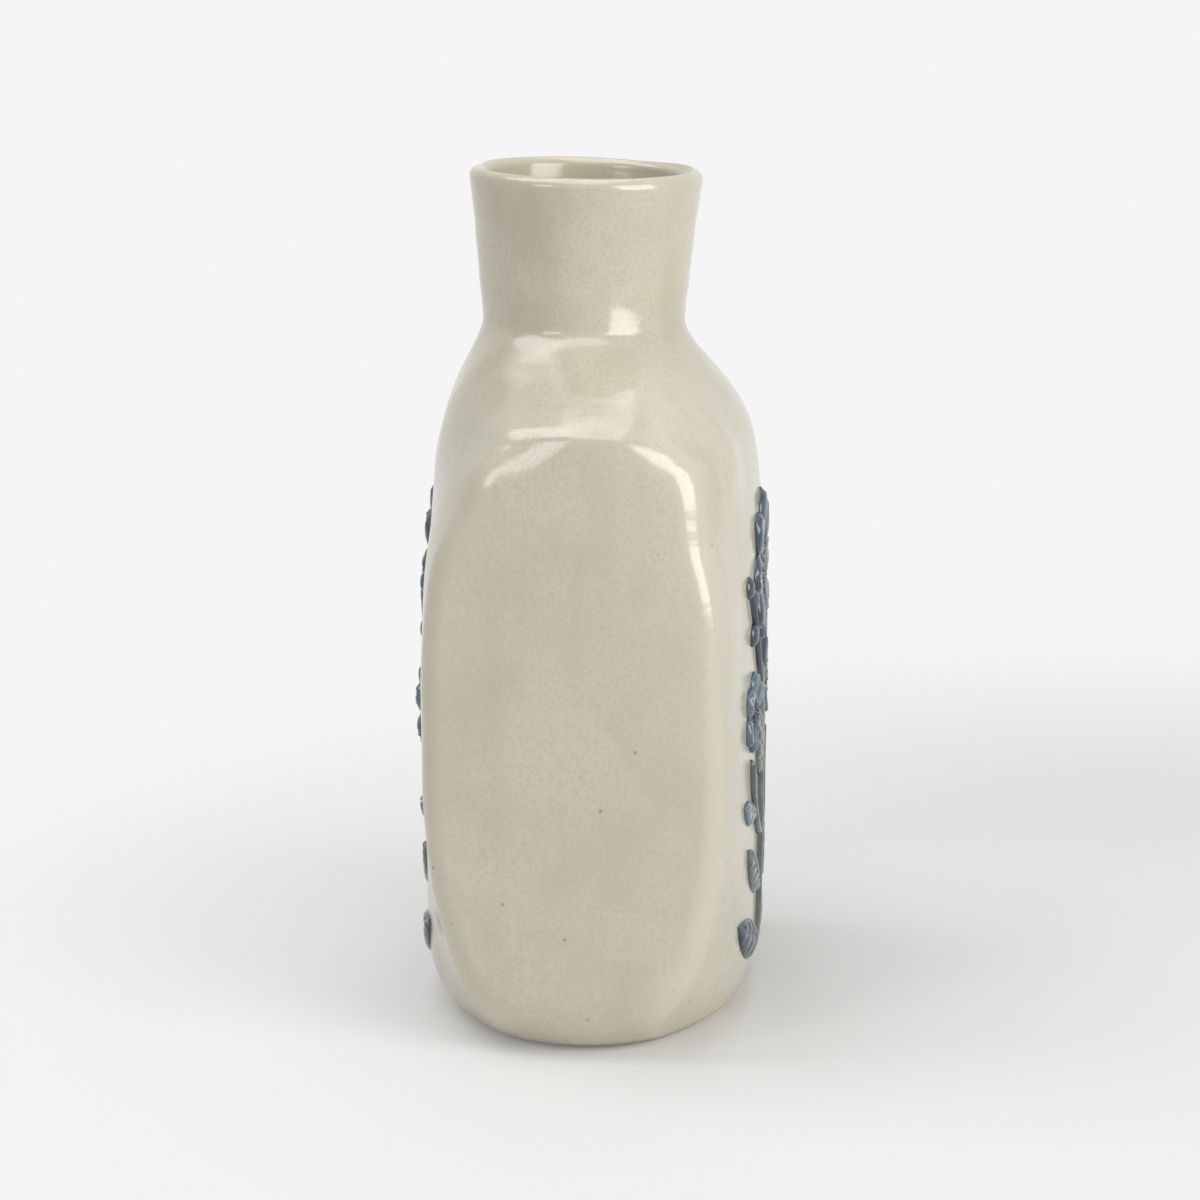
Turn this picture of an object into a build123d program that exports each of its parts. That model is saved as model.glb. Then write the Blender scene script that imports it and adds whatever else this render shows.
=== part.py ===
from build123d import *
import math
import os

# Pillow vase, built as a potter builds it: a base slab, two broad slabs and two side gussets mitred
# together along the ridges, a round flared collar on top, and flat clay sprigs laid on both broad faces.
# Millimetres. X runs across the broad faces, Y through them, Z up from the middle of the base.

# Body
BODY_WIDTH = 118.0
BODY_DEPTH = 79.6
BODY_TAPER = 2.6
SEAM_HEIGHT = 165.0
WALL = 4.2
BASE_THICKNESS = 6.0
LUTE_GAP = 0.1

# Rounded foot: the flat that the vase stands on, and how high the foot takes to reach the full body
BASE_WIDTH = 88.0
BASE_DEPTH = 66.0
FOOT_RISE_WIDTH = 15.0
FOOT_RISE_DEPTH = 18.0
FOOT_WIDTH_POWER = 2.0
FOOT_DEPTH_POWER = 1.8

# Shoulder: how far below the seam the body draws in to the neck, straight and with a soft corner when seen
# from the front, and in one sweep when seen from the side
SHOULDER_REACH_WIDTH = 13.5
SHOULDER_REACH_DEPTH = 17.05
SHOULDER_FILLET = 6.0
SHOULDER_WIDTH_POWER = 12.0
SHOULDER_DEPTH_POWER = 1.7
ROUNDING_REACH = 17.0

# Ridges between the broad faces and the gussets, and the crown of each panel between them
BELLY_HEIGHT = 75.0
RIDGE_TOP_DROP = 27.0
RIDGE_RADIUS = 5.6
RIDGE_END_RADIUS = 9.5
RIDGE_BASE_RADIUS = 14.0
RIDGE_POWER = 3.0
RIDGE_FADE_POWER = 3.0
FACE_CROWN = 4.6
FACE_CROWN_TOP = 11.0
FACE_CROWN_LOW = 24.0
FACE_CROWN_BASE = 8.8
FACE_TOP_POWER = 4.0
FACE_LOW_POWER = 3.0
SIDE_CROWN = 1.2
SIDE_CROWN_BASE = 4.0
SHOULDER_CROWN = 1.6
CROWN_FADE_POWER = 1.5

# Arched top of each gusset, where its ridges draw in towards each other below the shoulder
ARCH_CROWN = 7.0
ARCH_REACH = 14.0
ARCH_TOP_DROP = 16.0

# Collar: the neck stands a little towards the front slab, as the hand set it
COLLAR_HEIGHT = 35.0
NECK_RADIUS = 23.7
MOUTH_RADIUS = 27.2
NECK_OFFSET = 2.6
COLLAR_HOLLOW = 0.35
NECK_ROUND_SHARE = 0.985
NECK_CROWN_SHARE = 0.146

# Sprigs on each broad face, between the foot and the shoulder
SPRAY_FOOT = 8.0
SPRAY_TOP_DROP = 40.0
SPRAY_HEIGHT = SEAM_HEIGHT - SPRAY_TOP_DROP - SPRAY_FOOT
LEAF_RELIEF = 1.3
BLOSSOM_RELIEF = 1.7
SPRIG_GAP = 0.4
SLIP = 0.05

# Places and sizes in the spray, as shares of its height. A place is (sideways, up).
STEM_TOP_SHARE = 0.645
STEM_WIDTH_SHARE = 0.030
STEM_TIP_SHARE = 0.020
BRANCH_WIDTH_SHARE = 0.017
BRANCH_ROOT_SHARE = 0.279
BRANCH_BEND_SHARES = (0.107, 0.335)
BRANCH_TIP_SHARES = (0.162, 0.468)
TWIG_WIDTH_SHARE = 0.015
TWIG_ROOT_SHARE = 0.585
TWIG_BEND_SHARES = (0.128, 0.694)
TWIG_TIP_SHARES = (0.222, 0.835)
BERRY_RADIUS_SHARE = 0.0245
BERRY_PLACE_SHARES = ((0.66, -0.8), (0.84, 0.8), (1.0, 0.0))

# Stem leaves: root height, length and width as shares of the spray, and lift as a share of a right angle
LEAF_SHARES = {
    "basal_leaf": (0.040, 0.255, 0.082, 0.26),
    "lower_leaf": (0.160, 0.235, 0.072, 0.38),
    "upper_leaf": (0.395, 0.160, 0.055, 0.80),
}
LEAF_BELLY_SHARE = 0.62
BRANCH_LEAF_SHARES = (0.52, 0.145, 0.052, 0.20)

# Blossoms: sideways place, height, radius and button radius as shares of the spray
TOP_BLOSSOM_SHARES = (0.0, 0.838, 0.162, 0.047)
SIDE_BLOSSOM_SHARES = (0.166, 0.566, 0.085, 0.027)
TOP_PETALS = 8
SIDE_PETALS = 6
PETAL_WIDTH_SHARE = 0.27
PETAL_ROOT_SHARE = 0.18

# Heights of the sections that the body is lofted through
FOOT_SECTION_SHARES = (0.0, 0.05, 0.17, 0.36, 0.64, 1.0)
BODY_SECTION_SHARES = (0.0, 0.02, 0.045, 0.075, 0.115, 0.17, 0.25, 0.37, 0.52, 0.64, 0.73, 0.79,
                       0.83, 0.855, 0.872, 0.886, 0.90, 0.918, 0.938, 0.958, 0.98, 1.0)
INSET_STEPS = 24
DIAGONAL = math.radians(45)


def swell(z, rise, power):
    """How much of the body's size the rounded foot has reached at height z, from 0 to 1."""
    if z >= rise:
        return 1
    return (1 - (1 - z / rise) ** power) ** (1 / power)


def settle(z):
    """How much of the body's depth is left at height z, from 1 down to 0 at the neck, in one sweep."""
    return 1 - math.exp(-(max(SEAM_HEIGHT - z, 0) / SHOULDER_REACH_DEPTH) ** SHOULDER_DEPTH_POWER)


def square_up(z):
    """How much of the body's width is left at height z: a fillet at the neck, a straight slope, a soft corner."""
    drop = max(SEAM_HEIGHT - z, 0)
    share = (math.hypot(drop, SHOULDER_FILLET) - SHOULDER_FILLET) / SHOULDER_REACH_WIDTH
    return share / (1 + share ** SHOULDER_WIDTH_POWER) ** (1 / SHOULDER_WIDTH_POWER)


def half_width(z):
    """Half the body's width at height z."""
    foot = BASE_WIDTH / 2
    body = foot + (BODY_WIDTH / 2 - foot) * swell(z, FOOT_RISE_WIDTH, FOOT_WIDTH_POWER)
    return NECK_RADIUS + (body - NECK_RADIUS) * square_up(z)


def half_depth(z):
    """Half the body's depth at height z, which tapers a little towards the shoulder."""
    foot = BASE_DEPTH / 2
    full = (BODY_DEPTH - BODY_TAPER * z / SEAM_HEIGHT) / 2
    body = foot + (full - foot) * swell(z, FOOT_RISE_DEPTH, FOOT_DEPTH_POWER)
    return NECK_RADIUS + (body - NECK_RADIUS) * settle(z)


def inset(profile, z):
    """Half size inside the wall at height z: the profile moved in by the wall's thickness, square to it."""
    turns = [math.pi / 2 * step / INSET_STEPS for step in range(-INSET_STEPS, INSET_STEPS + 1)]
    return min(profile(z + WALL * math.sin(turn)) - WALL * math.cos(turn) for turn in turns)


def smooth(share):
    """An even step from 0 to 1."""
    held = min(max(share, 0), 1)
    return held * held * (3 - 2 * held)


def blend(low, high, share):
    """The value that lies at a share of the way from low to high."""
    return low + (high - low) * share


def neck_shift(z):
    """How far the section at height z stands towards the front."""
    return -NECK_OFFSET * smooth(1 - (SEAM_HEIGHT - z) / RIDGE_TOP_DROP)


def arch(z):
    """How far the ridges draw in at height z, to round the gusset's upper corners."""
    below = smooth(1 - (SEAM_HEIGHT - ARCH_TOP_DROP - z) / ARCH_REACH)
    above = smooth((SEAM_HEIGHT - z) / ARCH_TOP_DROP)
    return ARCH_CROWN * below * above


def oval(z):
    """The body's section at height z: half width, half depth, ridge radius and ridge centre."""
    roundness = math.exp(-((SEAM_HEIGHT - z) / ROUNDING_REACH) ** 2)
    foot = 1 - swell(z, FOOT_RISE_DEPTH, FOOT_DEPTH_POWER)
    if z > BELLY_HEIGHT:
        rise = smooth((z - BELLY_HEIGHT) / (SEAM_HEIGHT - RIDGE_TOP_DROP - BELLY_HEIGHT))
        face_crown = blend(FACE_CROWN, FACE_CROWN_TOP, rise ** FACE_TOP_POWER)
    else:
        rise = (BELLY_HEIGHT - z) / BELLY_HEIGHT
        face_crown = blend(FACE_CROWN, FACE_CROWN_LOW, rise ** FACE_LOW_POWER)
    radius = blend(blend(RIDGE_RADIUS, RIDGE_END_RADIUS, rise ** RIDGE_POWER), RIDGE_BASE_RADIUS, foot)
    face_crown = blend(face_crown, FACE_CROWN_BASE, foot)
    side_crown = blend(SIDE_CROWN, SIDE_CROWN_BASE, foot)
    neck_ridge = NECK_RADIUS * NECK_ROUND_SHARE
    neck_crown = (NECK_RADIUS - neck_ridge) * NECK_CROWN_SHARE
    shoulder_crown = SHOULDER_CROWN * 4 * roundness * (1 - roundness)
    flatness = (1 - roundness) ** CROWN_FADE_POWER
    radius = blend(radius, neck_ridge, roundness ** RIDGE_FADE_POWER)
    side_drop = blend(neck_crown, side_crown, flatness) + shoulder_crown
    face_drop = blend(neck_crown, face_crown, flatness) + shoulder_crown + arch(z)
    width = half_width(z)
    depth = half_depth(z)
    return width, depth, radius, width - radius - side_drop, depth - radius - face_drop


def hollow(z):
    """The section of the space inside the walls at height z, in the same terms."""
    width, depth, radius, centre_x, centre_y = oval(z)
    inner_width = inset(half_width, z)
    inner_depth = inset(half_depth, z)
    centre_x += inner_width - (width - WALL)
    centre_y += inner_depth - (depth - WALL) + max(arch(z) - arch(z + WALL), 0)
    return inner_width, inner_depth, radius - WALL, centre_x, centre_y


def grown(section, amount):
    """A section moved outwards by an amount, all round."""
    width, depth, radius, centre_x, centre_y = section
    return width + amount, depth + amount, radius + amount, centre_x, centre_y


def panel_points(section, broad, gap):
    """A panel's reach, and its points from the crown's end to the mitre, as (along, out) from its middle."""
    width, depth, radius, along, out = section
    reach = depth
    if not broad:
        along, out = out, along
        reach = width
    rim = reach - radius
    middle = (along ** 2 + out ** 2 - rim ** 2) / (2 * (out - rim))
    crown_end = math.atan2(out - middle, along)
    mitre = DIAGONAL + gap / 2 / radius
    turns = (crown_end, (crown_end + mitre) / 2, mitre)
    return reach, [(along + radius * math.cos(turn), out + radius * math.sin(turn)) for turn in turns]


def panel_edges(section, broad, place, gap):
    """The arcs of one panel's outline: half a ridge, the crowned panel and half the other ridge."""
    reach, points = panel_points(section, broad, gap)
    crown_end, bend, mitre = [place(along, out) for along, out in points]
    far_crown_end, far_bend, far_mitre = [place(-along, out) for along, out in points]
    return [
        ThreePointArc(mitre, bend, crown_end),
        ThreePointArc(crown_end, place(0, reach), far_crown_end),
        ThreePointArc(far_crown_end, far_bend, far_mitre),
    ]


def panel_place(z, broad, side):
    """A function that puts a panel's (along, out) point into the vase, on the side that side's sign gives."""
    shift = neck_shift(z)
    if broad:
        return lambda along, out: (along, side * out + shift, z)
    return lambda along, out: (side * out, along + shift, z)


def skin(outlines):
    """The faces that run up from each outline to the next."""
    return Shell.make_loft([Wire(outline) for outline in outlines], ruled=True).faces()


def layer(outer, inner):
    """The solid between an outer and an inner run of open outlines, closed at both ends, above and below."""
    starts = [[Line(over[0] @ 0, under[0] @ 0)] for over, under in zip(outer, inner)]
    ends = [[Line(over[-1] @ 1, under[-1] @ 1)] for over, under in zip(outer, inner)]
    faces = skin(outer) + skin(inner) + skin(starts) + skin(ends)
    for step in (0, -1):
        faces.append(make_face(outer[step] + inner[step] + starts[step] + ends[step]).face())
    return Solid(Shell(faces))


def body_heights():
    """Heights of the sections from the top of the base slab to the collar's seam."""
    return [blend(BASE_THICKNESS, SEAM_HEIGHT, share) for share in BODY_SECTION_SHARES]


def wall_panel(broad, side):
    """One wall of the body, mitred at both ridges, from the base slab up to the collar's seam."""
    outer = []
    inner = []
    for z in body_heights():
        place = panel_place(z, broad, side)
        outer.append(panel_edges(oval(z), broad, place, LUTE_GAP))
        inner.append(panel_edges(hollow(z), broad, place, LUTE_GAP))
    return layer(outer, inner)


def sprig_layer(relief):
    """The thin layer on the front slab's crown that sprigs of a given relief fill."""
    over = []
    under = []
    for z in body_heights():
        place = panel_place(z, True, -1)
        over.append(panel_edges(grown(oval(z), relief), True, place, 0)[1:2])
        under.append(panel_edges(grown(oval(z), SLIP), True, place, 0)[1:2])
    return layer(over, under)


def base_slab():
    """The bottom slab, whose edge is the rounded foot."""
    heights = [share * BASE_THICKNESS for share in FOOT_SECTION_SHARES]
    faces = []
    rims = [[], []]
    for broad in (True, False):
        for side in (1, -1):
            outlines = [panel_edges(oval(z), broad, panel_place(z, broad, side), 0) for z in heights]
            faces += skin(outlines)
            rims[0] += outlines[0]
            rims[1] += outlines[-1]
    faces += [make_face(rim).face() for rim in rims]
    return Solid(Shell(faces))


def neck_collar():
    """The flared collar with its rounded lip, turned about its own upright axis."""
    height = SEAM_HEIGHT + COLLAR_HEIGHT
    lip_height = height - WALL / 2
    outer_foot = (NECK_RADIUS, SEAM_HEIGHT)
    inner_foot = (NECK_RADIUS - WALL, SEAM_HEIGHT)
    outer_lip = (MOUTH_RADIUS, lip_height)
    inner_lip = (MOUTH_RADIUS - WALL, lip_height)
    profile = make_face([
        SagittaArc(outer_foot, outer_lip, -COLLAR_HOLLOW),
        ThreePointArc(outer_lip, (MOUTH_RADIUS - WALL / 2, height), inner_lip),
        SagittaArc(inner_lip, inner_foot, COLLAR_HOLLOW),
        Line(inner_foot, outer_foot),
    ])
    return Pos(0, -NECK_OFFSET, 0) * revolve(Plane.XZ * profile, Axis.Z)


def spray_point(along_share, up_share):
    """A point of the spray on the face's own plane, from shares of the spray's height."""
    return Vector(along_share * SPRAY_HEIGHT, SPRAY_FOOT + up_share * SPRAY_HEIGHT)


def stem_half_width(up_share):
    """Half the stem's width at a height in the spray."""
    width_share = blend(STEM_WIDTH_SHARE, STEM_TIP_SHARE, up_share / STEM_TOP_SHARE)
    return width_share * SPRAY_HEIGHT / 2


def stem_outline():
    """The tapered middle stem."""
    half_foot = STEM_WIDTH_SHARE / 2
    half_tip = STEM_TIP_SHARE / 2
    corners = [(-half_foot, 0), (half_foot, 0), (half_tip, STEM_TOP_SHARE), (-half_tip, STEM_TOP_SHARE)]
    return make_face(Polyline([spray_point(*corner) for corner in corners], close=True))


def stem_side(up_share, width):
    """Where a twig or leaf of a given end width starts, just clear of the stem's right edge."""
    start = stem_half_width(up_share) + SPRIG_GAP + width / 2
    return Vector(start, spray_point(0, up_share).Y)


def leaf_outline(root, size_shares):
    """A leaf of two arcs, with the fuller one below, from its length, width and lift as shares."""
    length_share, width_share, lift_share = size_shares
    length = length_share * SPRAY_HEIGHT
    width = width_share * SPRAY_HEIGHT
    lift = lift_share * math.pi / 2
    heading = Vector(math.cos(lift), math.sin(lift))
    square = Vector(-heading.Y, heading.X)
    tip = root + heading * length
    middle = (root + tip) * 0.5
    below = middle - square * (width * LEAF_BELLY_SHARE)
    above = middle + square * (width * (1 - LEAF_BELLY_SHARE))
    return make_face([ThreePointArc(root, below, tip), ThreePointArc(tip, above, root)])


def stem_leaf_outline(name):
    """One of the leaves on the stem's right side."""
    root_share, *size_shares = LEAF_SHARES[name]
    return leaf_outline(stem_side(root_share, 0), size_shares)


def bowed_path(root_share, bend_shares, tip_shares, width):
    """The arc that a branch or twig follows from the stem's right side."""
    return ThreePointArc(stem_side(root_share, width), spray_point(*bend_shares), spray_point(*tip_shares))


def branch_path():
    """The right branch's middle line."""
    return bowed_path(BRANCH_ROOT_SHARE, BRANCH_BEND_SHARES, BRANCH_TIP_SHARES, BRANCH_WIDTH_SHARE * SPRAY_HEIGHT)


def branch_outline():
    """The right branch, which carries a small blossom."""
    return SlotArc(branch_path(), BRANCH_WIDTH_SHARE * SPRAY_HEIGHT)


def branch_leaf_outline():
    """The leaf on the outer side of the right branch."""
    place_share, *size_shares = BRANCH_LEAF_SHARES
    path = branch_path()
    heading = path % place_share
    outward = Vector(heading.Y, -heading.X)
    root = path @ place_share + outward * (BRANCH_WIDTH_SHARE * SPRAY_HEIGHT / 2 + SPRIG_GAP)
    return leaf_outline(root, size_shares)


def berry_twig_outline():
    """The right twig with its three berries."""
    width = TWIG_WIDTH_SHARE * SPRAY_HEIGHT
    radius = BERRY_RADIUS_SHARE * SPRAY_HEIGHT
    path = bowed_path(TWIG_ROOT_SHARE, TWIG_BEND_SHARES, TWIG_TIP_SHARES, width)
    outline = Sketch() + SlotArc(path, width)
    for along_share, side_share in BERRY_PLACE_SHARES:
        heading = path % along_share
        centre = path @ along_share + Vector(-heading.Y, heading.X) * (side_share * radius)
        outline += Pos(centre) * Circle(radius)
    return outline


def blossom_outlines(shares, petals):
    """A rosette of overlapping petals with a round opening, and the button that sits in the opening."""
    along_share, up_share, radius_share, button_share = shares
    centre = Pos(spray_point(along_share, up_share))
    radius = radius_share * SPRAY_HEIGHT
    button = button_share * SPRAY_HEIGHT
    root = radius * PETAL_ROOT_SHARE
    petal = Ellipse((radius - root) / 2, radius * PETAL_WIDTH_SHARE * TOP_PETALS / petals)
    ring = Sketch()
    for step in range(petals):
        ring += Rot(0, 0, 90 + 360 / petals * step) * Pos((radius + root) / 2, 0) * petal
    return centre * (ring - Circle(button + SPRIG_GAP)), centre * Circle(button)


def half_spray():
    """Outlines of the right half of the spray, by name."""
    blossom, button = blossom_outlines(SIDE_BLOSSOM_SHARES, SIDE_PETALS)
    outlines = {name: stem_leaf_outline(name) for name in LEAF_SHARES}
    outlines["branch"] = branch_outline()
    outlines["branch_leaf"] = branch_leaf_outline()
    outlines["berry_twig"] = berry_twig_outline()
    outlines["blossom"] = blossom
    outlines["button"] = button
    return outlines


def whole_spray():
    """Outlines of every sprig of one face, by name, drawn on the face's own plane."""
    blossom, button = blossom_outlines(TOP_BLOSSOM_SHARES, TOP_PETALS)
    outlines = {"stem": stem_outline(), "top_blossom": blossom, "top_button": button}
    for name, outline in half_spray().items():
        outlines["right_" + name] = outline
        outlines["left_" + name] = mirror(outline, Plane.YZ)
    return outlines


def front_sprigs():
    """Sprigs of the front face: each outline pressed onto the crowned wall, as thick as its relief."""
    low_layer = sprig_layer(LEAF_RELIEF)
    high_layer = sprig_layer(BLOSSOM_RELIEF)
    sprigs = {}
    for name, outline in whole_spray().items():
        raised = name.endswith(("blossom", "button"))
        sprigs[name] = extrude(Plane.XZ * outline, BODY_DEPTH) & (high_layer if raised else low_layer)
    return sprigs


def vase():
    """Every piece of the vase, by name."""
    pieces = {
        "base_slab": base_slab(),
        "front_slab": wall_panel(True, -1),
        "back_slab": wall_panel(True, 1),
        "left_gusset": wall_panel(False, -1),
        "right_gusset": wall_panel(False, 1),
        "neck_collar": neck_collar(),
    }
    for name, sprig in front_sprigs().items():
        pieces["front_" + name] = sprig
        pieces["back_" + name] = Rot(0, 0, 180) * sprig
    return pieces


os.makedirs("parts", exist_ok=True)
for piece_name, piece in vase().items():
    export_step(piece, os.path.join("parts", piece_name + ".step"))
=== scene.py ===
"""Pillow vase: hand-built from slabs, glazed cream, with a raised flower spray on both broad faces."""

import logging
import math
from collections.abc import Callable, Iterable, Sequence
from dataclasses import dataclass, field
from enum import Enum

import bpy
import numpy as np
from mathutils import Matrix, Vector, kdtree


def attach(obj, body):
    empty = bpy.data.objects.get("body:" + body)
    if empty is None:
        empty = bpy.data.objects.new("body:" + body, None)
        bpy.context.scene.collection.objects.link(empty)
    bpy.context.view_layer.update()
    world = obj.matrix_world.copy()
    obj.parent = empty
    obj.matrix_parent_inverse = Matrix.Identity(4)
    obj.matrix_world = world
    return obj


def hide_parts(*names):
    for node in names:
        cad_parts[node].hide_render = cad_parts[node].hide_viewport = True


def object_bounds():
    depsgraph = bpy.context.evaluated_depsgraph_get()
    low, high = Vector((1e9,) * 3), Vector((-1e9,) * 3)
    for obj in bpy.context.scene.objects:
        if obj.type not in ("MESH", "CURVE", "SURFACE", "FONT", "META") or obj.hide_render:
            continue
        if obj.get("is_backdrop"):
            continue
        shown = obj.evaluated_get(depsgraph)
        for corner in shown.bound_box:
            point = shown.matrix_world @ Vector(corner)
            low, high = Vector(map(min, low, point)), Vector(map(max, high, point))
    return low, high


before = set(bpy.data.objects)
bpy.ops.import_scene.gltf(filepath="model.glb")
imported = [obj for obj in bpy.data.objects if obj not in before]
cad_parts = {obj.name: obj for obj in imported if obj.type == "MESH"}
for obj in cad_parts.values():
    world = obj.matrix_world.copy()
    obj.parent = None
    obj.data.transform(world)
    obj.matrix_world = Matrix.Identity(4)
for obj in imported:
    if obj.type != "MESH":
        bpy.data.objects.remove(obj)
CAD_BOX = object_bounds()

LOG = logging.getLogger("pillow_vase")
MM = 0.001
BODY = "root"
GLAZE_IOR = 1.72

Colour = tuple[float, float, float, float]
Sections = dict[str, np.ndarray]


def srgb(red: int, green: int, blue: int) -> Colour:
    """Turns a colour from its 0-255 display values into the linear values that shaders use.

    Args:
        red: Display red.
        green: Display green.
        blue: Display blue.

    Returns:
        The linear colour with full alpha.
    """
    def linear(value: int) -> float:
        """One channel, made linear."""
        share = value / 255
        return share / 12.92 if share <= 0.04045 else ((share + 0.055) / 1.055) ** 2.4

    return linear(red), linear(green), linear(blue), 1.0


def smooth(share: np.ndarray | float) -> np.ndarray:
    """An even step from 0 to 1."""
    held = np.clip(share, 0.0, 1.0)
    return held * held * (3 - 2 * held)


def blend(low: np.ndarray | float, high: np.ndarray | float, share: np.ndarray | float) -> np.ndarray:
    """The value that lies at a share of the way from low to high."""
    return low + (high - low) * share


def rounded(across: np.ndarray, power: float, root: float = 0.5) -> np.ndarray:
    """A section that is full in its middle and falls off round towards its edges."""
    return (1 - np.abs(across) ** power) ** root


def tapered(along: np.ndarray, start: float, end: float, least: float) -> np.ndarray:
    """A length that rises from its least over its start and falls back to it over its end."""
    return least + (1 - least) * smooth(along / start) * smooth((1 - along) / end)


class Slot(Enum):
    """The finishes that the record names."""

    CREAM = "cream_glaze"
    NAVY = "navy_glaze"
    SLATE = "slate_glaze"
    SAGE = "sage_glaze"


class Face(Enum):
    """The two broad faces, with the half turn that brings the front's spray to each."""

    FRONT = 1.0
    BACK = -1.0


class Panel(Enum):
    """The four walls in the order that a section runs through them, seen from above."""

    FRONT = "front_slab"
    RIGHT = "right_gusset"
    BACK = "back_slab"
    LEFT = "left_gusset"

    @property
    def broad(self) -> bool:
        """Whether the wall is one of the two broad faces."""
        return self in (Panel.FRONT, Panel.BACK)

    def place(self, along: np.ndarray, out: np.ndarray) -> tuple[np.ndarray, np.ndarray]:
        """Turns a wall's own (along, out) into the vase's X and Y."""
        return {
            Panel.FRONT: (along, -out),
            Panel.RIGHT: (out, along),
            Panel.BACK: (-along, out),
            Panel.LEFT: (-out, -along),
        }[self]


# Node trees


class Term:
    """A value in a shader tree. Its operators add Math nodes."""

    def __init__(self, nodes: "Nodes", socket: bpy.types.NodeSocket) -> None:
        """Wraps an output socket of a tree."""
        self.nodes = nodes
        self.socket = socket

    def _math(self, operation: str, first: "Term | float", second: "Term | float") -> "Term":
        """Adds one Math node and wraps its result."""
        made = self.nodes.node("ShaderNodeMath", {"operation": operation}, {0: first, 1: second})
        return Term(self.nodes, made.outputs[0])

    def __add__(self, other: "Term | float") -> "Term":
        """The sum."""
        return self._math("ADD", self, other)

    def __sub__(self, other: "Term | float") -> "Term":
        """The difference."""
        return self._math("SUBTRACT", self, other)

    def __rsub__(self, other: float) -> "Term":
        """The difference, with the number first."""
        return self._math("SUBTRACT", other, self)

    def __mul__(self, other: "Term | float") -> "Term":
        """The product."""
        return self._math("MULTIPLY", self, other)

    def at_most(self, other: "Term | float") -> "Term":
        """The lesser of the two."""
        return self._math("MINIMUM", self, other)

    def step(self, low: float, high: float) -> "Term":
        """An even step from 0 at low to 1 at high; high may be the lower number."""
        settings = {"interpolation_type": "SMOOTHSTEP"}
        ends = {"From Min": low, "From Max": high}
        if low > high:
            ends = {"From Min": high, "From Max": low, "To Min": 1.0, "To Max": 0.0}
        made = self.nodes.node("ShaderNodeMapRange", settings, {"Value": self, **ends})
        return Term(self.nodes, made.outputs[0])


class Nodes:
    """A node tree under construction."""

    def __init__(self, tree: bpy.types.NodeTree) -> None:
        """Starts on an emptied tree."""
        self.tree = tree
        tree.nodes.clear()

    def node(self, kind: str, settings: dict | None = None, sockets: dict | None = None) -> bpy.types.Node:
        """Adds any node.

        Args:
            kind: The node's type.
            settings: Properties that are set first, by name.
            sockets: Values or links of the inputs, by name or number.

        Returns:
            The new node.
        """
        made = self.tree.nodes.new(kind)
        for name, value in (settings or {}).items():
            setattr(made, name, value)
        for key, value in (sockets or {}).items():
            source = value.socket if isinstance(value, Term) else value
            if isinstance(source, bpy.types.NodeSocket):
                self.tree.links.new(source, made.inputs[key])
            else:
                made.inputs[key].default_value = source
        return made

    def mix(self, factor: Term | float, first: object, second: object) -> bpy.types.NodeSocket:
        """Mixes two colours by a factor."""
        return self.node("ShaderNodeMix", {"data_type": "RGBA"}, {0: factor, 6: first, 7: second}).outputs[2]

    def noise(self, place: object, scale: float, detail: float = 2.0) -> Term:
        """A cloudy value from 0 to 1."""
        made = self.node("ShaderNodeTexNoise", None, {"Vector": place, "Scale": scale, "Detail": detail})
        return Term(self, made.outputs[0])

    def attribute(self, name: str) -> Term:
        """A value that the mesh carries."""
        return Term(self, self.node("ShaderNodeAttribute", {"attribute_name": name}).outputs["Fac"])

    def object_place(self) -> bpy.types.NodeSocket:
        """The place on the object, in metres."""
        return self.node("ShaderNodeTexCoord").outputs["Object"]

    def stretched(self, place: object, scale: Sequence[float]) -> bpy.types.NodeSocket:
        """A place drawn out by a scale along each axis."""
        return self.node("ShaderNodeMapping", None, {"Vector": place, "Scale": scale}).outputs[0]

    def bump(self, height: Term, distance: float, under: object = None) -> bpy.types.NodeSocket:
        """A surface roughened by a height, in metres for a height of 1, on top of another if one is given."""
        sockets = {"Height": height, "Distance": distance}
        if under is not None:
            sockets["Normal"] = under
        return self.node("ShaderNodeBump", None, sockets).outputs[0]


def new_material(name: str) -> tuple[bpy.types.Material, Nodes]:
    """Makes an empty material and its tree."""
    material = bpy.data.materials.new(name)
    material.use_nodes = True
    return material, Nodes(material.node_tree)


def glazed(nodes: Nodes, colour: object, roughness: Term, normal: object) -> None:
    """Ends a tree in a glassy shader.

    Args:
        nodes: The material's tree.
        colour: The colour under the glass.
        roughness: How dull the surface is, place by place.
        normal: The bumped surface.
    """
    sockets = {"Base Color": colour, "Roughness": roughness, "Normal": normal, "IOR": GLAZE_IOR}
    shader = nodes.node("ShaderNodeBsdfPrincipled", None, sockets)
    nodes.node("ShaderNodeOutputMaterial", None, {"Surface": shader.outputs[0]})


@dataclass(frozen=True)
class Veil:
    """A thin layer of colour: the cloud values at which it starts and is full, and how strong it gets."""

    start: float
    full: float
    strength: float

    def amount(self, cloud: Term) -> Term:
        """How much of the layer lies at a place."""
        return cloud.step(self.start, self.full) * self.strength


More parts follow.
